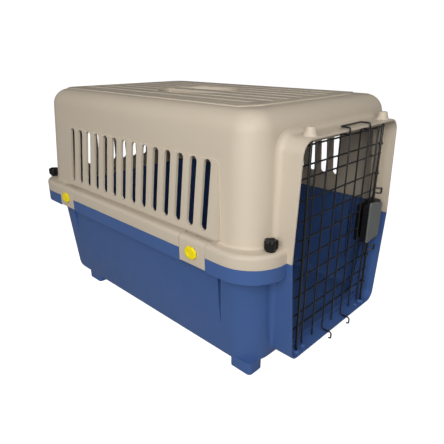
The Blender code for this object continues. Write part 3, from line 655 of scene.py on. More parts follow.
def flared_point(plain, wide, angle):
    """A point on the curve between the frame's side and the front wall. It tightens at the sill."""
    size = min(1.0, 0.25 + max(0.0, plain.y - SILL_Z) / 0.050)
    point = plain + (wide - plain) * size * (1 - math.cos(angle))
    depth = front_wall(plain.y) - NECK_FLARE * size * (1 - math.sin(angle))
    return Vector((point.x, LIP_Y + depth, point.y))


def door_passage():
    """The way through the neck: recess, ledge opening and the space behind the ledge."""
    behind = RECESS_DEPTH + LEDGE_THICKNESS
    narrow = WALL + LEDGE_WIDTH
    stations = [(-0.010, WALL), (RECESS_DEPTH, WALL), (RECESS_DEPTH, narrow)]
    stations += [(behind, narrow), (behind, WALL), (NECK_DEPTH + 0.010, WALL)]
    return neck_body("whole", stations)


def prism(bm, outline, low, high, axis="X"):
    """A body with a flat outline in Y and Z (or X and Z), between two distances along X (or Y)."""
    loops = []
    for depth in (low, high):
        if axis == "X":
            loops.append([Vector((depth, p[0], p[1])) for p in outline])
        else:
            loops.append([Vector((p[0], depth, p[1])) for p in outline])
    return loft(bm, loops)


def both_sides(bm, outline, low, high):
    """The same prism on both sides of the carrier."""
    for side in (-1, 1):
        prism(bm, outline, *ordered(side * low, side * high))
    return bm


def clip_pocket(bm, low_z, high_z):
    """Where the four clips lie flush in the rim's outer face."""
    for side, middle, width in CLIP_PLACES.values():
        floor = side * (RIM_HALF - CLIP_THICKNESS - GAP)
        low_x, high_x = ordered(floor, side * (RIM_HALF + 0.004))
        half = width / 2 + GAP
        box(bm, (low_x, middle - half, low_z), (high_x, middle + half, high_z))
    return bm


def cam_slots(bm):
    """Openings at the lower rim's edge that the turned cams can pass through."""
    for side, middle, _width in CLIP_PLACES.values():
        low_x, high_x = ordered(side * CAM_SLOT_X, side * (RIM_HALF + 0.004))
        half = CAM_HALF_LENGTH + CAM_ROOM
        box(bm, (low_x, middle - half, CAM_SLOT_Z), (high_x, middle + half, SEAM_Z + 0.002))
    return bm


def feet():
    """Four low feet with round corners under the floor's corners."""
    bm = bmesh.new()
    top = FOOT_HEIGHT + TUB_ROUNDING * 0.85
    for side in (-1, 1):
        low_x, high_x = ordered(side * TUB_BOTTOM[0], side * (TUB_BOTTOM[0] - FOOT_WIDTH))
        for front in FOOT_FRONTS:
            rear = front + FOOT_LENGTH
            outline = rounded([(low_x, front), (high_x, front), (high_x, rear), (low_x, rear)], [0.006] * 4, 5)
            levels = ((0.0, 0.9), (0.0012, 1.0), (top, 1.0))
            middle = Vector(((low_x + high_x) / 2, (front + rear) / 2))
            loops = []
            for z, share in levels:
                flat = [middle + (p - middle) * share for p in outline]
                loops.append([Vector((p.x, p.y, z)) for p in flat])
            loft(bm, loops)
    return bm


def tub_recess_outline(grow=0.0):
    """The outline in Y and Z of the upright panel pressed into each of the tub's sides."""
    low, high = TUB_RECESS_Z
    front_low, front_high = (y - grow for y in TUB_RECESS_FRONT)
    rear = TUB_RECESS_REAR + grow
    return rounded([(front_low, low), (rear, low), (rear, high), (front_high, high)], [0, 0.004, 0, 0], 4)


def tub_half(z):
    """Half the tub's outer width at a height."""
    return between(TUB_BOTTOM, TUB_TOP, (z - FOOT_HEIGHT) / (SEAM_Z - FOOT_HEIGHT))[0]


def lid_half(z):
    """Half the lid's outer width at a height."""
    return between(WALL_BASE, WALL_TOP, (z - RIM_TOP_Z) / (ROOF_Z - RIM_TOP_Z))[0]


def backing(half_at, inner_x, low, high, span):
    """Thicker wall on both sides, from an upright inner face out to the middle of the sloping wall."""
    bm = bmesh.new()
    skin = WALL * 0.4
    for side in (-1, 1):
        section = [(inner_x, low), (half_at(low) - skin, low), (half_at(high) - skin, high), (inner_x, high)]
        prism(bm, [(side * x, z) for x, z in section], *span, "Y")
    return bm


def lower_shell():
    """The tub: floor, walls with upright side panels, rim, sill half of the door frame, and feet."""
    loops = []
    for angle in quarter_steps(8):
        z = FOOT_HEIGHT + TUB_ROUNDING * (1 - math.cos(angle))
        loops.append(tub_section(z, TUB_ROUNDING * (1 - math.sin(angle))))
    plate_z = SEAM_Z - WALL
    loops += [tub_section(plate_z), rim_section(plate_z, WALL), rim_section(SKIRT_Z, WALL)]
    loops += [rim_section(SKIRT_Z), rim_section(SEAM_Z)]
    shell = new_object("tub_shell", loft(bmesh.new(), loops))
    combine(shell, "UNION", "lower_neck", flared_neck("lower"))
    combine(shell, "UNION", "feet", feet())
    inner = TUB_ROUNDING - WALL
    cavity = []
    for angle in quarter_steps(6):
        z = FOOT_HEIGHT + WALL + inner * (1 - math.cos(angle))
        cavity.append(tub_section(z, WALL + inner * (1 - math.sin(angle))))
    cavity.append(tub_section(SEAM_Z + 0.010, WALL))
    combine(shell, "DIFFERENCE", "tub_cavity", loft(bmesh.new(), cavity))
    high = TUB_RECESS_Z[1]
    span = (TUB_RECESS_FRONT[1] - 0.008, TUB_RECESS_REAR + 0.008)
    panel_back = (TUB_RECESS_X - 0.0045, TUB_RECESS_Z[0] - 0.006, SEAM_Z - 0.0015)
    combine(shell, "UNION", "side_backing", backing(tub_half, *panel_back, span))
    slit_back = (TUB_RECESS_X - 0.0125, 0.064, SEAM_Z - 0.0020)
    combine(shell, "UNION", "slit_backing", backing(tub_half, *slit_back, (LIP_Y + 0.086, LIP_Y + 0.109)))
    panel = both_sides(bmesh.new(), tub_recess_outline(), TUB_RECESS_X, RIM_HALF - 0.009)
    combine(shell, "DIFFERENCE", "side_panel", panel)
    slit = [(LIP_Y + 0.0965, 0.072), (LIP_Y + 0.1025, 0.172), (LIP_Y + 0.1025, high - 0.001)]
    slit += [(LIP_Y + 0.0925, high - 0.001), (LIP_Y + 0.0935, 0.172), (LIP_Y + 0.0955, 0.072)]
    combine(shell, "DIFFERENCE", "side_slit", both_sides(bmesh.new(), slit, TUB_RECESS_X - 0.010, 0.198))
    combine(shell, "DIFFERENCE", "lower_passage", door_passage())
    combine(shell, "UNION", "sill_bosses", sill_bosses())
    combine(shell, "DIFFERENCE", "lower_holes", lower_holes())
    pockets = clip_pocket(bmesh.new(), SKIRT_Z - 0.002, SEAM_Z + 0.002)
    combine(shell, "DIFFERENCE", "lower_pockets", pockets)
    combine(shell, "DIFFERENCE", "cam_slots", cam_slots(bmesh.new()))
    return shell


def sill_bosses():
    """Raised sockets for the two rods, each with a small stop beside it."""
    bm = bmesh.new()
    base = SILL_Z + WALL - 0.001
    for x in (HINGE_X, LATCH_X):
        profile = [(0.0068, 0.0), (0.0065, 0.0018), (0.0062, 0.0033), (0.0057, 0.0039), (0.0050, 0.0042)]
        turned(bm, (x, ROD_Y, base), profile)
        stop = (x * 0.82, ROD_Y, base)
        turned(bm, stop, [(0.0036, 0.0), (0.0035, 0.0018), (0.0029, 0.0029), (0.0018, 0.0034)], sides=16)
    return bm


def lower_holes():
    """Rod sockets through the sill and stud holes through the rim's plate."""
    bm = bmesh.new()
    for x in (HINGE_X, LATCH_X):
        turned(bm, (x, ROD_Y, SILL_Z - 0.002), [(SOCKET_HOLE, 0.0), (SOCKET_HOLE, 0.012)])
    for x, y in KNOB_PLACES.values():
        hole = STUD_RADIUS + 0.0005
        turned(bm, (x, y, SEAM_Z - 0.008), [(hole, 0.0), (hole, 0.012)])
    return bm


def rod_cones():
    """Hollow cones on top of the neck that take the rods' upper ends."""
    bm = bmesh.new()
    profile = [(0.0107, -0.0015), (0.0107, 0.0001), (0.0100, 0.0006), (0.0091, 0.0018), (0.0082, 0.0038)]
    profile += [(0.0074, 0.0066), (0.0068, 0.0095), (0.0062, 0.0111), (0.0050, 0.0121), (0.0028, 0.0124)]
    for x in (HINGE_X, LATCH_X):
        turned(bm, (x, ROD_Y + 0.0022, NECK_TOP_Z), profile)
    return bm


def upper_holes():
    """Rod sockets up into the cones, stud holes and the clip pins' sockets."""
    bm = bmesh.new()
    for x in (HINGE_X, LATCH_X):
        low = NECK_TOP_Z - 0.006
        turned(bm, (x, ROD_Y, low), [(SOCKET_HOLE, 0.0), (SOCKET_HOLE, 0.0135)])
    for x, y in KNOB_PLACES.values():
        hole = STUD_RADIUS + 0.0005
        turned(bm, (x, y, SEAM_Z + 0.010), [(hole, 0.0), (hole, 0.015)])
    for side, middle, width in CLIP_PLACES.values():
        reach = width / 2 + 0.0028
        hole = PIN_RADIUS + 0.0004
        centre = (side * PIVOT_X, middle - reach, PIVOT_Z)
        turned(bm, centre, [(hole, 0.0), (hole, 2 * reach)], "Y", sides=12)
    return bm


def clip_notches():
    """The gaps across the rim's top that the four clips fill."""
    bm = bmesh.new()
    for side, middle, width in CLIP_PLACES.values():
        low_x, high_x = ordered(side * NOTCH_X, side * (RIM_HALF + 0.004))
        half = width / 2 + GAP
        box(bm, (low_x, middle - half, NOTCH_Z), (high_x, middle + half, RIM_TOP_Z + 0.002))
    return bm


def rim_groove():
    """The hollow on the underside of the upper rim."""
    low, high = SEAM_Z - 0.004, RIM_TOP_Z - RIM_PLATE
    outer = [rim_section(z, WALL) for z in (low, high)]
    inner = [wall_section(z, 0.0) for z in (high, low)]
    return loft(bmesh.new(), outer + inner, closed=True)


def vent_rows():
    """The vents' middles in Y on each side, by side, from front to rear."""
    rows = {}
    for side, count, middle in ((-1, LEFT_VENTS, LEFT_MIDDLE_Y), (1, RIGHT_VENTS, RIGHT_MIDDLE_Y)):
        rows[side] = [middle + (i - (count - 1) / 2) * VENT_PITCH for i in range(count)]
    return rows


def rear_row():
    """The rear vents' middles in X."""
    return [(i - (REAR_VENTS - 1) / 2) * REAR_PITCH for i in range(REAR_VENTS)]


def slot_outline(middle):
    """A vent: an upright opening with round ends."""
    low, high = VENT_Z
    r = VENT_HALF_WIDTH
    left, right = middle - r, middle + r
    return rounded([(left, low), (right, low), (right, high), (left, high)], [r * 0.999] * 4, 6)


def shoulder(edge, high, radius):
    """A quarter round from the top of a rib down to its front edge."""
    arc = []
    for angle in quarter_steps(6):
        arc.append((edge + radius * (1 - math.sin(angle)), high - radius * (1 - math.cos(angle))))
    return arc


def field_half(z):
    """How far out the raised fields of vents stand: they slope outward on their way down."""
    return FIELD_TOP_X + (FIELD_Z[1] - z) * FIELD_SLOPE


def field_outline(row):
    """The raised field round a row of vents: each rib between two vents has one round shoulder."""
    low, high = FIELD_Z
    r = FIELD_RADIUS
    first, last = row[0], row[-1]
    outline = [(last + 0.0135, low), (last + 0.0135, high - 0.003), (last + 0.0105, high)]
    for middle in reversed(row[:-1]):
        edge = middle + VENT_HALF_WIDTH - 0.0008
        outline += shoulder(edge, high, r)
        outline.append((edge, high))
    outline += shoulder(first - 0.0195, high, r)
    outline.append((first - 0.028, low))
    return outline


def vent_fields():
    """The raised fields of ribs on both sides."""
    bm = bmesh.new()
    for side, row in vent_rows().items():
        outline = field_outline(row)
        inner = [Vector((side * (lid_half(z) - 0.0015), y, z)) for y, z in outline]
        loft(bm, [inner, [Vector((side * field_half(z), y, z)) for y, z in outline]])
    return bm


def field_hollows():
    """The hollows behind the raised fields, which keep the ribs thin."""
    bm = bmesh.new()
    low, high = FIELD_Z[0] + 0.004, FIELD_Z[1] - 0.002
    for side, row in vent_rows().items():
        front, rear = row[0] - 0.016, row[-1] + 0.0105
        outline = [(front, low), (rear, low), (rear, high), (front, high)]
        inner = [Vector((side * 0.165, y, z)) for y, z in outline]
        outer = [Vector((side * (field_half(z) - FIELD_THICKNESS), y, z)) for y, z in outline]
        loft(bm, [inner, outer])
    return bm


def rear_wall(z):
    """Where the lid's rear wall stands at a height."""
    return between(WALL_BASE, WALL_TOP, (z - RIM_TOP_Z) / (ROOF_Z - RIM_TOP_Z))[2]


def rear_backing():
    """Thicker wall behind the rear field of vents."""
    bm = bmesh.new()
    low, high = NOTCH_Z, REAR_FIELD_Z[1] + 0.0045
    inner, skin = REAR_FIELD_Y - WALL, WALL * 0.4
    section = [(inner, low), (rear_wall(low) - skin, low), (rear_wall(high) - skin, high), (inner, high)]
    row = rear_row()
    return prism(bm, section, row[0] - 0.018, row[-1] + 0.018)


def rear_field():
    """The pressed-in field round the rear vents."""
    low, high = REAR_FIELD_Z
    first, last = rear_row()[0] - 0.014, rear_row()[-1] + 0.014
    corners = [(first, low), (last, low), (last, high), (first, high)]
    return prism(bmesh.new(), rounded(corners, [0, 0, 0.006, 0.006], 5), REAR_FIELD_Y, RIM_REAR + 0.002, "Y")


def vents():
    """Every vent opening."""
    bm = bmesh.new()
    for side, row in vent_rows().items():
        for middle in row:
            prism(bm, slot_outline(middle), *ordered(side * 0.170, side * 0.205))
    for middle in rear_row():
        prism(bm, slot_outline(middle), REAR_FIELD_Y - 0.013, REAR_FIELD_Y + 0.014, "Y")
    return bm


def roof_panel():
    """The slightly raised panel on the roof, with its front corners cut off and a sloping edge."""
    loops = []
    for z, inset in ((ROOF_Z - 0.001, 0.0), (ROOF_Z + 0.0002, 0.0), (ROOF_Z + PANEL_RISE, 0.0014)):
        half, front, rear = PANEL_HALF - inset, PANEL_FRONT + inset, PANEL_REAR - inset
        cut = PANEL_CHAMFER - inset * 0.5
        corners = [(-half + cut, front), (half - cut, front), (half, front + cut * 0.4)]
        corners += [(half, rear), (-half, rear), (-half, front + cut * 0.4)]
        outline = rounded(corners, [0.006, 0.006, 0.006, 0.020, 0.020, 0.006], 6)
        loops.append([Vector((p.x, p.y, z)) for p in outline])
    return loft(bmesh.new(), loops)


def roof_grooves():
    """Shallow lengthwise grooves in the roof panel, which leave broad ribs between them."""
    bm = bmesh.new()
    top = ROOF_Z + PANEL_RISE
    for index in range(-3, 4):
        middle = index * GROOVE_PITCH
        front = PANEL_FRONT + (0.030 if abs(index) == 3 else 0.020)
        loops = []
        for z, inset in ((top - GROOVE_DEPTH, 0.0016), (top + 0.0006, -0.0006)):
            low, high = middle - GROOVE_HALF + inset, middle + GROOVE_HALF - inset
            near, far = front + inset, PANEL_REAR - 0.018 - inset
            outline = rounded([(low, near), (high, near), (high, far), (low, far)], [0.0068] * 4, 5)
            loops.append([Vector((p.x, p.y, z)) for p in outline])
        loft(bm, loops)
    return bm


def bowl(extra, top):
    """The round hand recess in the roof, or its wall when extra is the wall's thickness."""
    floor = ROOF_Z + PANEL_RISE - BOWL_DEPTH - extra
    profile = [(BOWL_FLOOR_RADIUS - 0.012 + extra, floor), (BOWL_FLOOR_RADIUS - 0.004 + extra, floor + 0.0008)]
    profile += [(BOWL_FLOOR_RADIUS + 0.001 + extra, floor + 0.004)]
    profile += [(BOWL_FLOOR_RADIUS + 0.005 + extra, floor + 0.011)]
    profile += [(BOWL_RADIUS - 0.006 + extra, floor + BOWL_DEPTH * 0.72)]
    if extra == 0:
        profile += [(BOWL_RADIUS - 0.0045, floor + BOWL_DEPTH - 0.004)]
        profile += [(BOWL_RADIUS - 0.0032, floor + BOWL_DEPTH - 0.0017)]
        profile += [(BOWL_RADIUS - 0.0010, floor + BOWL_DEPTH - 0.0004)]
    profile += [(BOWL_RADIUS + extra, top)]
    return turned(bmesh.new(), (*BOWL_CENTRE, 0.0), profile, sides=72)


def grip():
    """The carrying bar that bridges the recess lengthwise, just below the roof's level."""
    top = ROOF_Z + PANEL_RISE - 0.0006
    low = top - GRIP_HEIGHT
    corners = [(-GRIP_HALF, low), (GRIP_HALF, low), (GRIP_HALF, top), (-GRIP_HALF, top)]
    outline = rounded(corners, [0.005, 0.005, 0.004, 0.004], 6)
    reach = BOWL_RADIUS + 0.002
    ends = (BOWL_CENTRE[1] - reach, BOWL_CENTRE[1] + reach)
    return loft(bmesh.new(), [[Vector((p.x, y, p.y)) for p in outline] for y in ends])


def upper_shell():
    """The lid: rim, walls with vents, roof with its carrying grip, and the door frame's top half."""
    loops = [rim_section(SEAM_Z + GAP)]
    for angle in quarter_steps(6):
        z = RIM_TOP_Z - 0.0002 - RIM_ROUNDING * (1 - math.sin(angle))
        loops.append(rim_section(z, RIM_ROUNDING * (1 - math.cos(angle))))
    for angle in quarter_steps(4):
        z = RIM_TOP_Z + CREASE * (1 - math.cos(angle))
        loops.append(wall_section(z, -CREASE * (1 - math.sin(angle))))
    for angle in quarter_steps(10):
        z = ROOF_Z - ROOF_ROUNDING * (1 - math.sin(angle))
        loops.append(wall_section(z, ROOF_ROUNDING * (1 - math.cos(angle))))
    shell = new_object("lid_shell", loft(bmesh.new(), loops))
    combine(shell, "UNION", "upper_neck", flared_neck("upper"))
    combine(shell, "UNION", "rod_cones", rod_cones())
    combine(shell, "UNION", "roof_panel", roof_panel())
    cavity = [wall_section(SEAM_Z - 0.010, WALL)]
    inner = ROOF_ROUNDING - WALL
    for angle in quarter_steps(7):
        z = ROOF_Z - WALL - inner * (1 - math.sin(angle))
        cavity.append(wall_section(z, WALL + inner * (1 - math.cos(angle))))
    combine(shell, "DIFFERENCE", "lid_cavity", loft(bmesh.new(), cavity))
    combine(shell, "UNION", "bowl_wall", bowl(WALL, ROOF_Z - 0.0005))
    combine(shell, "DIFFERENCE", "roof_grooves", roof_grooves())
    combine(shell, "DIFFERENCE", "bowl_space", bowl(0.0, ROOF_Z + PANEL_RISE + 0.002))
    combine(shell, "UNION", "grip", grip())
    combine(shell, "DIFFERENCE", "rim_groove", rim_groove())
    combine(shell, "DIFFERENCE", "upper_passage", door_passage())
    combine(shell, "UNION", "vent_fields", vent_fields())
    combine(shell, "DIFFERENCE", "field_hollows", field_hollows())
    combine(shell, "UNION", "rear_backing", rear_backing())
    combine(shell, "DIFFERENCE", "rear_field", rear_field())
    combine(shell, "DIFFERENCE", "vents", vents())
    pockets = clip_pocket(bmesh.new(), SEAM_Z - 0.002, RIM_TOP_Z + 0.002)
    combine(shell, "DIFFERENCE", "upper_pockets", pockets)
    combine(shell, "DIFFERENCE", "clip_notches", clip_notches())
    combine(shell, "DIFFERENCE", "upper_holes", upper_holes())
    return shell


# Clamp knobs


def knob(corner, place):
    """A five-lobed knob on a plain collar, with a dished top."""
    x, y = place
    base = RIM_TOP_Z + GAP
    bm = bmesh.new()
    rows = [(0.66, 0.0, 0.0), (0.72, 0.0006, 0.0), (0.72, 0.0024, 0.1), (0.90, 0.0034, 0.8)]
    rows += [(0.97, 0.0044, 1.0), (1.0, 0.0060, 1.0), (1.0, 0.0131, 1.0), (0.965, 0.0147, 1.0)]
    rows += [(0.88, 0.0156, 0.9), (0.76, KNOB_HEIGHT, 0.7), (0.50, KNOB_HEIGHT, 0.2)]
    rows += [(0.44, 0.0151, 0.0), (0.38, 0.0147, 0.0), (0.20, 0.0147, 0.0)]
    loops = []
    for share, z, lobing in rows:
        ring = circle(1.0, (0, 0, 0), sides=60, phase=0.3)
        for index, point in enumerate(ring):
            angle = 2 * math.pi * index / 60
            wave = 0.5 + 0.5 * math.cos(5 * angle)
            lobe = 1 - 0.20 * lobing * (1 - wave) ** 1.6
            ring[index] = Vector((x, y, base + z)) + point * KNOB_RADIUS * share * lobe
        loops.append(ring)
    obj = new_object("clamp_knob_" + corner, loft(bm, loops))
    show(obj, "black_plastic", "knob_" + corner, ["knob_" + corner], smooth=50)


# Clips and their buttons


def clip(corner, side, middle, width):
    """A flush clip that hinges at the rim's inner edge and hangs over the seam."""
    outer, inner = RIM_HALF, RIM_HALF - CLIP_THICKNESS
    top, under = RIM_TOP_Z - 0.0002, RIM_TOP_Z - 0.0028
    barrel = 0.0024
    profile = [(PIVOT_X, top)]
    for angle in quarter_steps(6):
        drop = RIM_ROUNDING * (1 - math.cos(angle))
        profile.append((outer - RIM_ROUNDING * (1 - math.sin(angle)), top - drop))
    profile += [(outer, CLIP_BOTTOM_Z + 0.001), (outer - 0.001, CLIP_BOTTOM_Z)]
    profile += [(inner, CLIP_BOTTOM_Z), (inner, under - 0.006), (inner - 0.0012, under - 0.002)]
    profile += [(inner - 0.0040, under), (PIVOT_X + barrel, under)]
    for degrees in (-45, -90, -135, 180, 135):
        angle = math.radians(degrees)
        profile.append((PIVOT_X + barrel * math.cos(angle), PIVOT_Z + barrel * math.sin(angle)))
    ends = (middle - width / 2 + CLIP_SLIT, middle + width / 2 - CLIP_SLIT)
    loops = [[Vector((side * x, y, z)) for x, z in profile] for y in ends]
    body = new_object("flush_clip_" + corner, loft(bmesh.new(), loops))
    pins = bmesh.new()
    reach = width / 2 + 0.0022
    pin = [(PIN_RADIUS, 0.0), (PIN_RADIUS, 2 * reach)]
    turned(pins, (side * PIVOT_X, middle - reach, PIVOT_Z), pin, "Y", sides=16)
    combine(body, "UNION", "pins_" + corner, pins)
    hole = bmesh.new()
    radius = SHAFT_RADIUS + 0.0005
    turned(hole, (side * 0.2, middle, BUTTON_Z), [(radius, -0.015), (radius, 0.015)], "X")
    combine(body, "DIFFERENCE", "button_hole_" + corner, hole)
    show(body, "beige_plastic", "clip_" + corner, ["clip_" + corner], bevel=0.0004)


def button(corner, side, middle):
    """A quarter-turn button: eight-sided head with a pointer, shaft and a cam behind the rim."""
    face = RIM_HALF + GAP
    levels = [(0.93, 0.0), (1.0, 0.0007), (1.0, 0.0024), (0.965, 0.0031), (0.87, BUTTON_THICKNESS)]
    levels += [(0.60, BUTTON_THICKNESS), (0.52, BUTTON_THICKNESS - 0.0007)]
    head = bmesh.new()
    loops = []
    for share, depth in levels:
        centre = (side * (face + depth), middle, BUTTON_Z)
        ring = circle(1.0, (0, 0, 0), "X", 8, math.pi / 8)
        half, tall = BUTTON_RADIUS * share, BUTTON_RADIUS * share - BUTTON_FLATTER
        loops.append([Vector((centre[0], centre[1] + p.y * half, centre[2] + p.z * tall)) for p in ring])
    loft(head, loops)
    body = new_object("turn_button_" + corner, head)
    shaft = bmesh.new()
    reach = [(SHAFT_RADIUS, side * 0.1995), (SHAFT_RADIUS, side * (face + 0.001))]
    turned(shaft, (0.0, middle, BUTTON_Z), reach, "X")
    combine(body, "UNION", "shaft_" + corner, shaft)
    cam = bmesh.new()
    low_x, high_x = ordered(side * CAM_X[0], side * CAM_X[1])
    low_z, high_z = BUTTON_Z - CAM_HALF_LENGTH, BUTTON_Z + CAM_HALF_LENGTH
    box(cam, (low_x, middle - CAM_HALF_WIDTH, low_z), (high_x, middle + CAM_HALF_WIDTH, high_z))
    combine(body, "UNION", "cam_" + corner, cam)
    show(body, "yellow_plastic", "button_" + corner, ["button_" + corner], bevel=0.0004)


# Door


def weld(bm, x, z):
    """The flattened bead where an upright and a cross wire are welded."""
    centre = Vector((x, (VERTICAL_Y + HORIZONTAL_Y) / 2, z))
    loops = []
    for share, offset in ((0.45, -1.0), (0.85, -0.6), (1.0, 0.0), (0.85, 0.6), (0.45, 1.0)):
        loops.append(circle(0.00155 * share, centre + Vector((0, offset * 0.00095, 0)), "Y", 10))
    loft(bm, loops)


def door():
    """The welded grille with its rod guides, the bent stay wire and the hinge rod."""
    bm = bmesh.new()
    uprights = [index * VERTICAL_PITCH for index in (-3, -2, 0, 2, 3)]
    for x in uprights:
        wire(bm, [(x, VERTICAL_Y, WIRE_BOTTOM_Z), (x, VERTICAL_Y, WIRE_TOP_Z)], WIRE)
    for z in HORIZONTAL_ZS:
        blocked = HOUSING_Z[0] < z < HOUSING_Z[1]
        low_x = -TOP_WIRE_END if z == HORIZONTAL_ZS[-1] else -HORIZONTAL_END
        high_x = HOUSING_X[0] - 0.001 if blocked else HORIZONTAL_END
        wire(bm, [(low_x, HORIZONTAL_Y, z), (high_x, HORIZONTAL_Y, z)], WIRE)
        for x in uprights + [-VERTICAL_PITCH, VERTICAL_PITCH]:
            if x < high_x:
                weld(bm, x, z)
    rod_guides(bm)
    show(new_object("grille_wires", bm), "black_coated_wire", "door", ["door_grille"])
    show(new_object("stay_wire", stay_wire()), "black_coated_wire", "door", ["door_stay_wire"])
    rod = [(HINGE_X, ROD_Y, ROD_ENDS_Z[0]), (HINGE_X, ROD_Y, ROD_ENDS_Z[1])]
    hinge = new_object("hinge_rod", wire(bmesh.new(), rod, ROD, 16))
    show(hinge, "black_coated_wire", "door", ["door_hinge_rod"])


def stay_wire():
    """One wire: hook, upright, loop over the neck, upright and hook again."""
    x = VERTICAL_PITCH
    sill, roof = SILL_Z + WALL + 0.0035, NECK_TOP_Z - WALL - 0.0030
    front, over, hook = LIP_Y - 0.0040, NECK_TOP_Z + 0.0032, LIP_Y - 0.0081
    side = [(x, LIP_Y - 0.0035, sill - 0.0115), (x, hook, sill - 0.0105)]
    side += [(x, hook, sill), (x, STAY_Y, sill), (x, STAY_Y, roof)]
    side += [(x, front, roof), (x, front, over), (x, LIP_Y + 0.011, over)]
    far = [(-px, py, pz) for px, py, pz in reversed(side)]
    return wire(bmesh.new(), bent(side + far, 0.0035), WIRE)


def rod_guides(bm):
    """Rings on the cross wires in which the two latch rods slide."""
    for middle in (0.066, 0.120, 0.268, 0.317):
        section = []
        for step in range(10):
            angle = 2 * math.pi * step / 10
            section.append((0.0033 + 0.0009 * math.cos(angle), 0.0011 * math.sin(angle)))
        loops = [circle(r, (LATCH_X, ROD_Y, middle + d)) for r, d in section]
        loft(bm, loops, closed=True)


def latch_housing():
    """The case round both rods' inner ends, with a wing on the wires and a cover plate in front."""
    (left, right), (near, far) = HOUSING_X, HOUSING_Y
    outline = rounded([(left, near), (right, near), (right, far), (left, far)], [0.003] * 4, 6)
    case = loft(bmesh.new(), [[Vector((p.x, p.y, z)) for p in outline] for z in HOUSING_Z])
    body = new_object("latch_case", case)
    for index, (front, back) in enumerate(WING_YS):
        wing = box(bmesh.new(), (WING_X[0], front, WING_Z[0]), (WING_X[1], back, WING_Z[1]))
        combine(body, "UNION", "housing_wing_%d" % index, wing)
    space = bmesh.new()
    half = MIDDLE_WALL / 2
    low_x, high_x = LATCH_X - SPRING_SPACE_HALF, LATCH_X + SPRING_SPACE_HALF
    for low, high in (
        (HOUSING_Z[0] + WALL, LATCH_MIDDLE_Z - half),
        (LATCH_MIDDLE_Z + half, HOUSING_Z[1] - WALL),
    ):
        box(space, (low_x, SPRING_SPACE_Y[0], low), (high_x, SPRING_SPACE_Y[1], high))
    combine(body, "DIFFERENCE", "spring_spaces", space)
    holes = bmesh.new()
    for low, high in (
        (HOUSING_Z[0] - 0.002, HOUSING_Z[0] + WALL + 0.002),
        (HOUSING_Z[1] - WALL - 0.002, HOUSING_Z[1] + 0.002),
    ):
        turned(holes, (LATCH_X, ROD_Y, low), [(SOCKET_HOLE, 0.0), (SOCKET_HOLE, high - low)])
    combine(body, "DIFFERENCE", "housing_holes", holes)
    show(body, "black_plastic", "door", ["latch_housing"], bevel=0.0006)
    # The cover plate's grey finish is a painted reflection: the sheen of dark plastic at a grazing angle, put into
    # its colour.
    front = HOUSING_Y[0] - GAP
    outline = rounded(COVER_CORNERS, [0.003] * 4, 6)
    levels = (front - COVER_THICKNESS, front)
    cover = [[Vector((p.x, y, p.y)) for p in outline] for y in levels]
    plate = new_object("latch_cover_plate", loft(bmesh.new(), cover))
    show(plate, "grey_plastic", "door", ["latch_cover"], bevel=0.0009, segments=3)


def latch_rod(which, direction):
    """One sprung rod with its finger loop, thrust flange and spring. direction is +1 for the upper."""
    inner = LATCH_MIDDLE_Z + direction * ROD_INNER_END
    outer = ROD_ENDS_Z[1] if direction > 0 else ROD_ENDS_Z[0]
    bm = wire(bmesh.new(), [(LATCH_X, ROD_Y, inner), (LATCH_X, ROD_Y, outer)], ROD, 16)
    rod = new_object("sliding_rod_" + which, bm)
    flange = bmesh.new()
    low = min(inner, inner + direction * FLANGE_HEIGHT)
    profile = [(FLANGE_RADIUS * 0.9, 0.0), (FLANGE_RADIUS, 0.0003), (FLANGE_RADIUS, FLANGE_HEIGHT - 0.0003)]
    profile.append((FLANGE_RADIUS * 0.9, FLANGE_HEIGHT))
    turned(flange, (LATCH_X, ROD_Y, low), profile)
    combine(rod, "UNION", "flange_" + which, flange)
    start = HOUSING_Z[1 if direction > 0 else 0] + direction * FINGER_LOOP_START
    end = start + direction * FINGER_LOOP_HEIGHT
    near, far, front = LATCH_X + 0.003, LATCH_X + FINGER_LOOP_WIDTH, ROD_Y - FINGER_LOOP_REACH
    loop = [(LATCH_X, ROD_Y, start), (near, front, start), (far, front, start)]
    loop += [(far, front, end), (near, front, end), (LATCH_X, ROD_Y, end)]
    combine(rod, "UNION", "finger_loop_" + which, wire(bmesh.new(), bent(loop, 0.0036), 0.0014, 12))
    show(rod, "black_coated_wire", "latch_" + which, ["latch_%s_rod" % which])
    seat = LATCH_MIDDLE_Z + direction * (MIDDLE_WALL / 2 + GAP)
    spring = new_object("coil_spring_" + which, wire(bmesh.new(), coil(seat, inner - direction * GAP), 0.00045, 8))
    show(spring, "spring_steel", "latch_" + which, ["latch_%s_spring" % which])


def coil(start, end):
    """The centre line of a helical spring between two heights."""
    turns, per_turn, radius = 5, 20, 0.0024
    count = turns * per_turn
    inset = math.copysign(0.00045, end - start)
    points = []
    for step in range(count + 1):
        angle = 2 * math.pi * step / per_turn
        height = start + inset + (end - start - 2 * inset) * step / count
        points.append((LATCH_X + radius * math.cos(angle), ROD_Y + radius * math.sin(angle), height))
    return points


# Surroundings


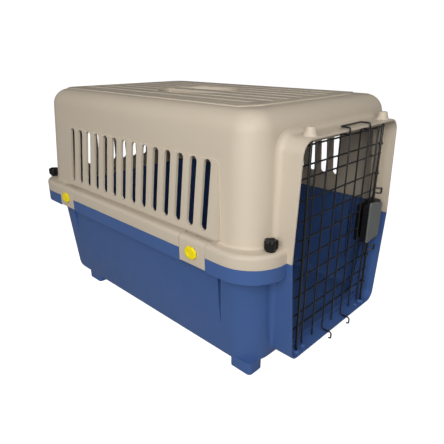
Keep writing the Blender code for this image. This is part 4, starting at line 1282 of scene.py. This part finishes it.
def floor():
    """A plain pale studio floor."""
    bm = bmesh.new()
    corners = [(-15, -15, 0), (15, -15, 0), (15, 15, 0), (-15, 15, 0)]
    bm.faces.new([bm.verts.new(corner) for corner in corners])
    obj = new_object("studio_floor", bm)
    material = bpy.data.materials.new("studio_floor")
    material.use_nodes = True
    shader = material.node_tree.nodes["Principled BSDF"]
    shader.inputs["Base Color"].default_value = (0.5, 0.5, 0.5, 1.0)
    shader.inputs["Roughness"].default_value = 0.9
    shader.inputs["Specular IOR Level"].default_value = 0.1
    shader.inputs["Emission Color"].default_value = (1.0, 1.0, 1.0, 1.0)
    shader.inputs["Emission Strength"].default_value = 0.98
    obj.data.materials.append(material)
    obj.visible_diffuse = False
    obj.visible_glossy = False
    obj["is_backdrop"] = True


def world():
    """Soft light from all round, behind a white background."""
    made = bpy.data.worlds.new("studio")
    bpy.context.scene.world = made
    made.use_nodes = True
    nodes, links = made.node_tree.nodes, made.node_tree.links
    background = nodes["Background"]
    seen = nodes.new("ShaderNodeLightPath")
    strength = nodes.new("ShaderNodeMapRange")
    links.new(seen.outputs["Is Camera Ray"], strength.inputs["Value"])
    up = nodes.new("ShaderNodeSeparateXYZ")
    links.new(nodes.new("ShaderNodeTexCoord").outputs["Generated"], up.inputs[0])
    around = nodes.new("ShaderNodeMapRange")
    links.new(up.outputs["Z"], around.inputs["Value"])
    for socket, value in zip(around.inputs[1:5], (-0.6, 0.1, 0.36, 0.10)):
        socket.default_value = value
    links.new(around.outputs["Result"], strength.inputs[3])
    strength.inputs[4].default_value = 1.15
    links.new(strength.outputs["Result"], background.inputs["Strength"])
    background.inputs["Color"].default_value = (1.0, 1.0, 1.0, 1.0)


def area_light(name, place, target, size, power, colour=(1.0, 1.0, 1.0)):
    """A soft rectangular light that faces a target."""
    light = bpy.data.lights.new(name, "AREA")
    light.shape = "RECTANGLE"
    light.size, light.size_y = size
    light.energy = power
    light.color = colour
    obj = bpy.data.objects.new(name, light)
    bpy.context.collection.objects.link(obj)
    obj.location = place
    obj.rotation_euler = (Vector(target) - Vector(place)).to_track_quat("-Z", "Y").to_euler()


def camera():
    """The photograph's view from above the front left corner."""
    made = bpy.data.cameras.new("camera")
    made.lens = 35.29
    made.sensor_width = 36.0
    made.clip_end = 60.0
    obj = bpy.data.objects.new("camera", made)
    bpy.context.collection.objects.link(obj)
    right, up = Vector((0.6953, -0.7187, 0.0)), Vector((0.2612, 0.2527, 0.9316))
    back = Vector((-0.6695, -0.6477, 0.3635))
    turn = Matrix((right, up, back)).transposed().to_4x4()
    obj.matrix_world = Matrix.Translation((-0.5801, -0.5891, 0.4541)) @ turn
    bpy.context.scene.camera = obj


FINISHES = finishes()
for node, obj in frame["nodes"].items():
    slot_name = next(
        (part["material_slot"] for part in frame["record"].get("subparts", []) if part.get("node") == node),
        None,
    )
    if slot_name in FINISHES:
        for place in obj.material_slots:
            place.material = FINISHES[slot_name]
show(lower_shell(), "blue_plastic", "base", ["lower_shell"], bevel=0.0006)
show(upper_shell(), "beige_plastic", "lid", ["upper_shell"], bevel=0.0006)
for corner, place in KNOB_PLACES.items():
    knob(corner, place)
for corner, (side, middle, width) in CLIP_PLACES.items():
    clip(corner, side, middle, width)
    button(corner, side, middle)
door()
latch_housing()
latch_rod("upper", 1)
latch_rod("lower", -1)
floor()
world()
area_light("key", (-1.50, -0.95, 0.98), (0.0, -0.05, 0.20), (1.3, 1.1), 29.0)
area_light("front", (-0.50, -1.15, 1.65), (0.0, -0.10, 0.30), (1.0, 0.7), 8.0)
camera()
bpy.context.scene.view_settings.view_transform = "Standard"
rows = {"cad": CAD_BOX, "visual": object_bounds()}
{key: [[float(v) for v in corner] for corner in box_] for key, box_ in rows.items()}
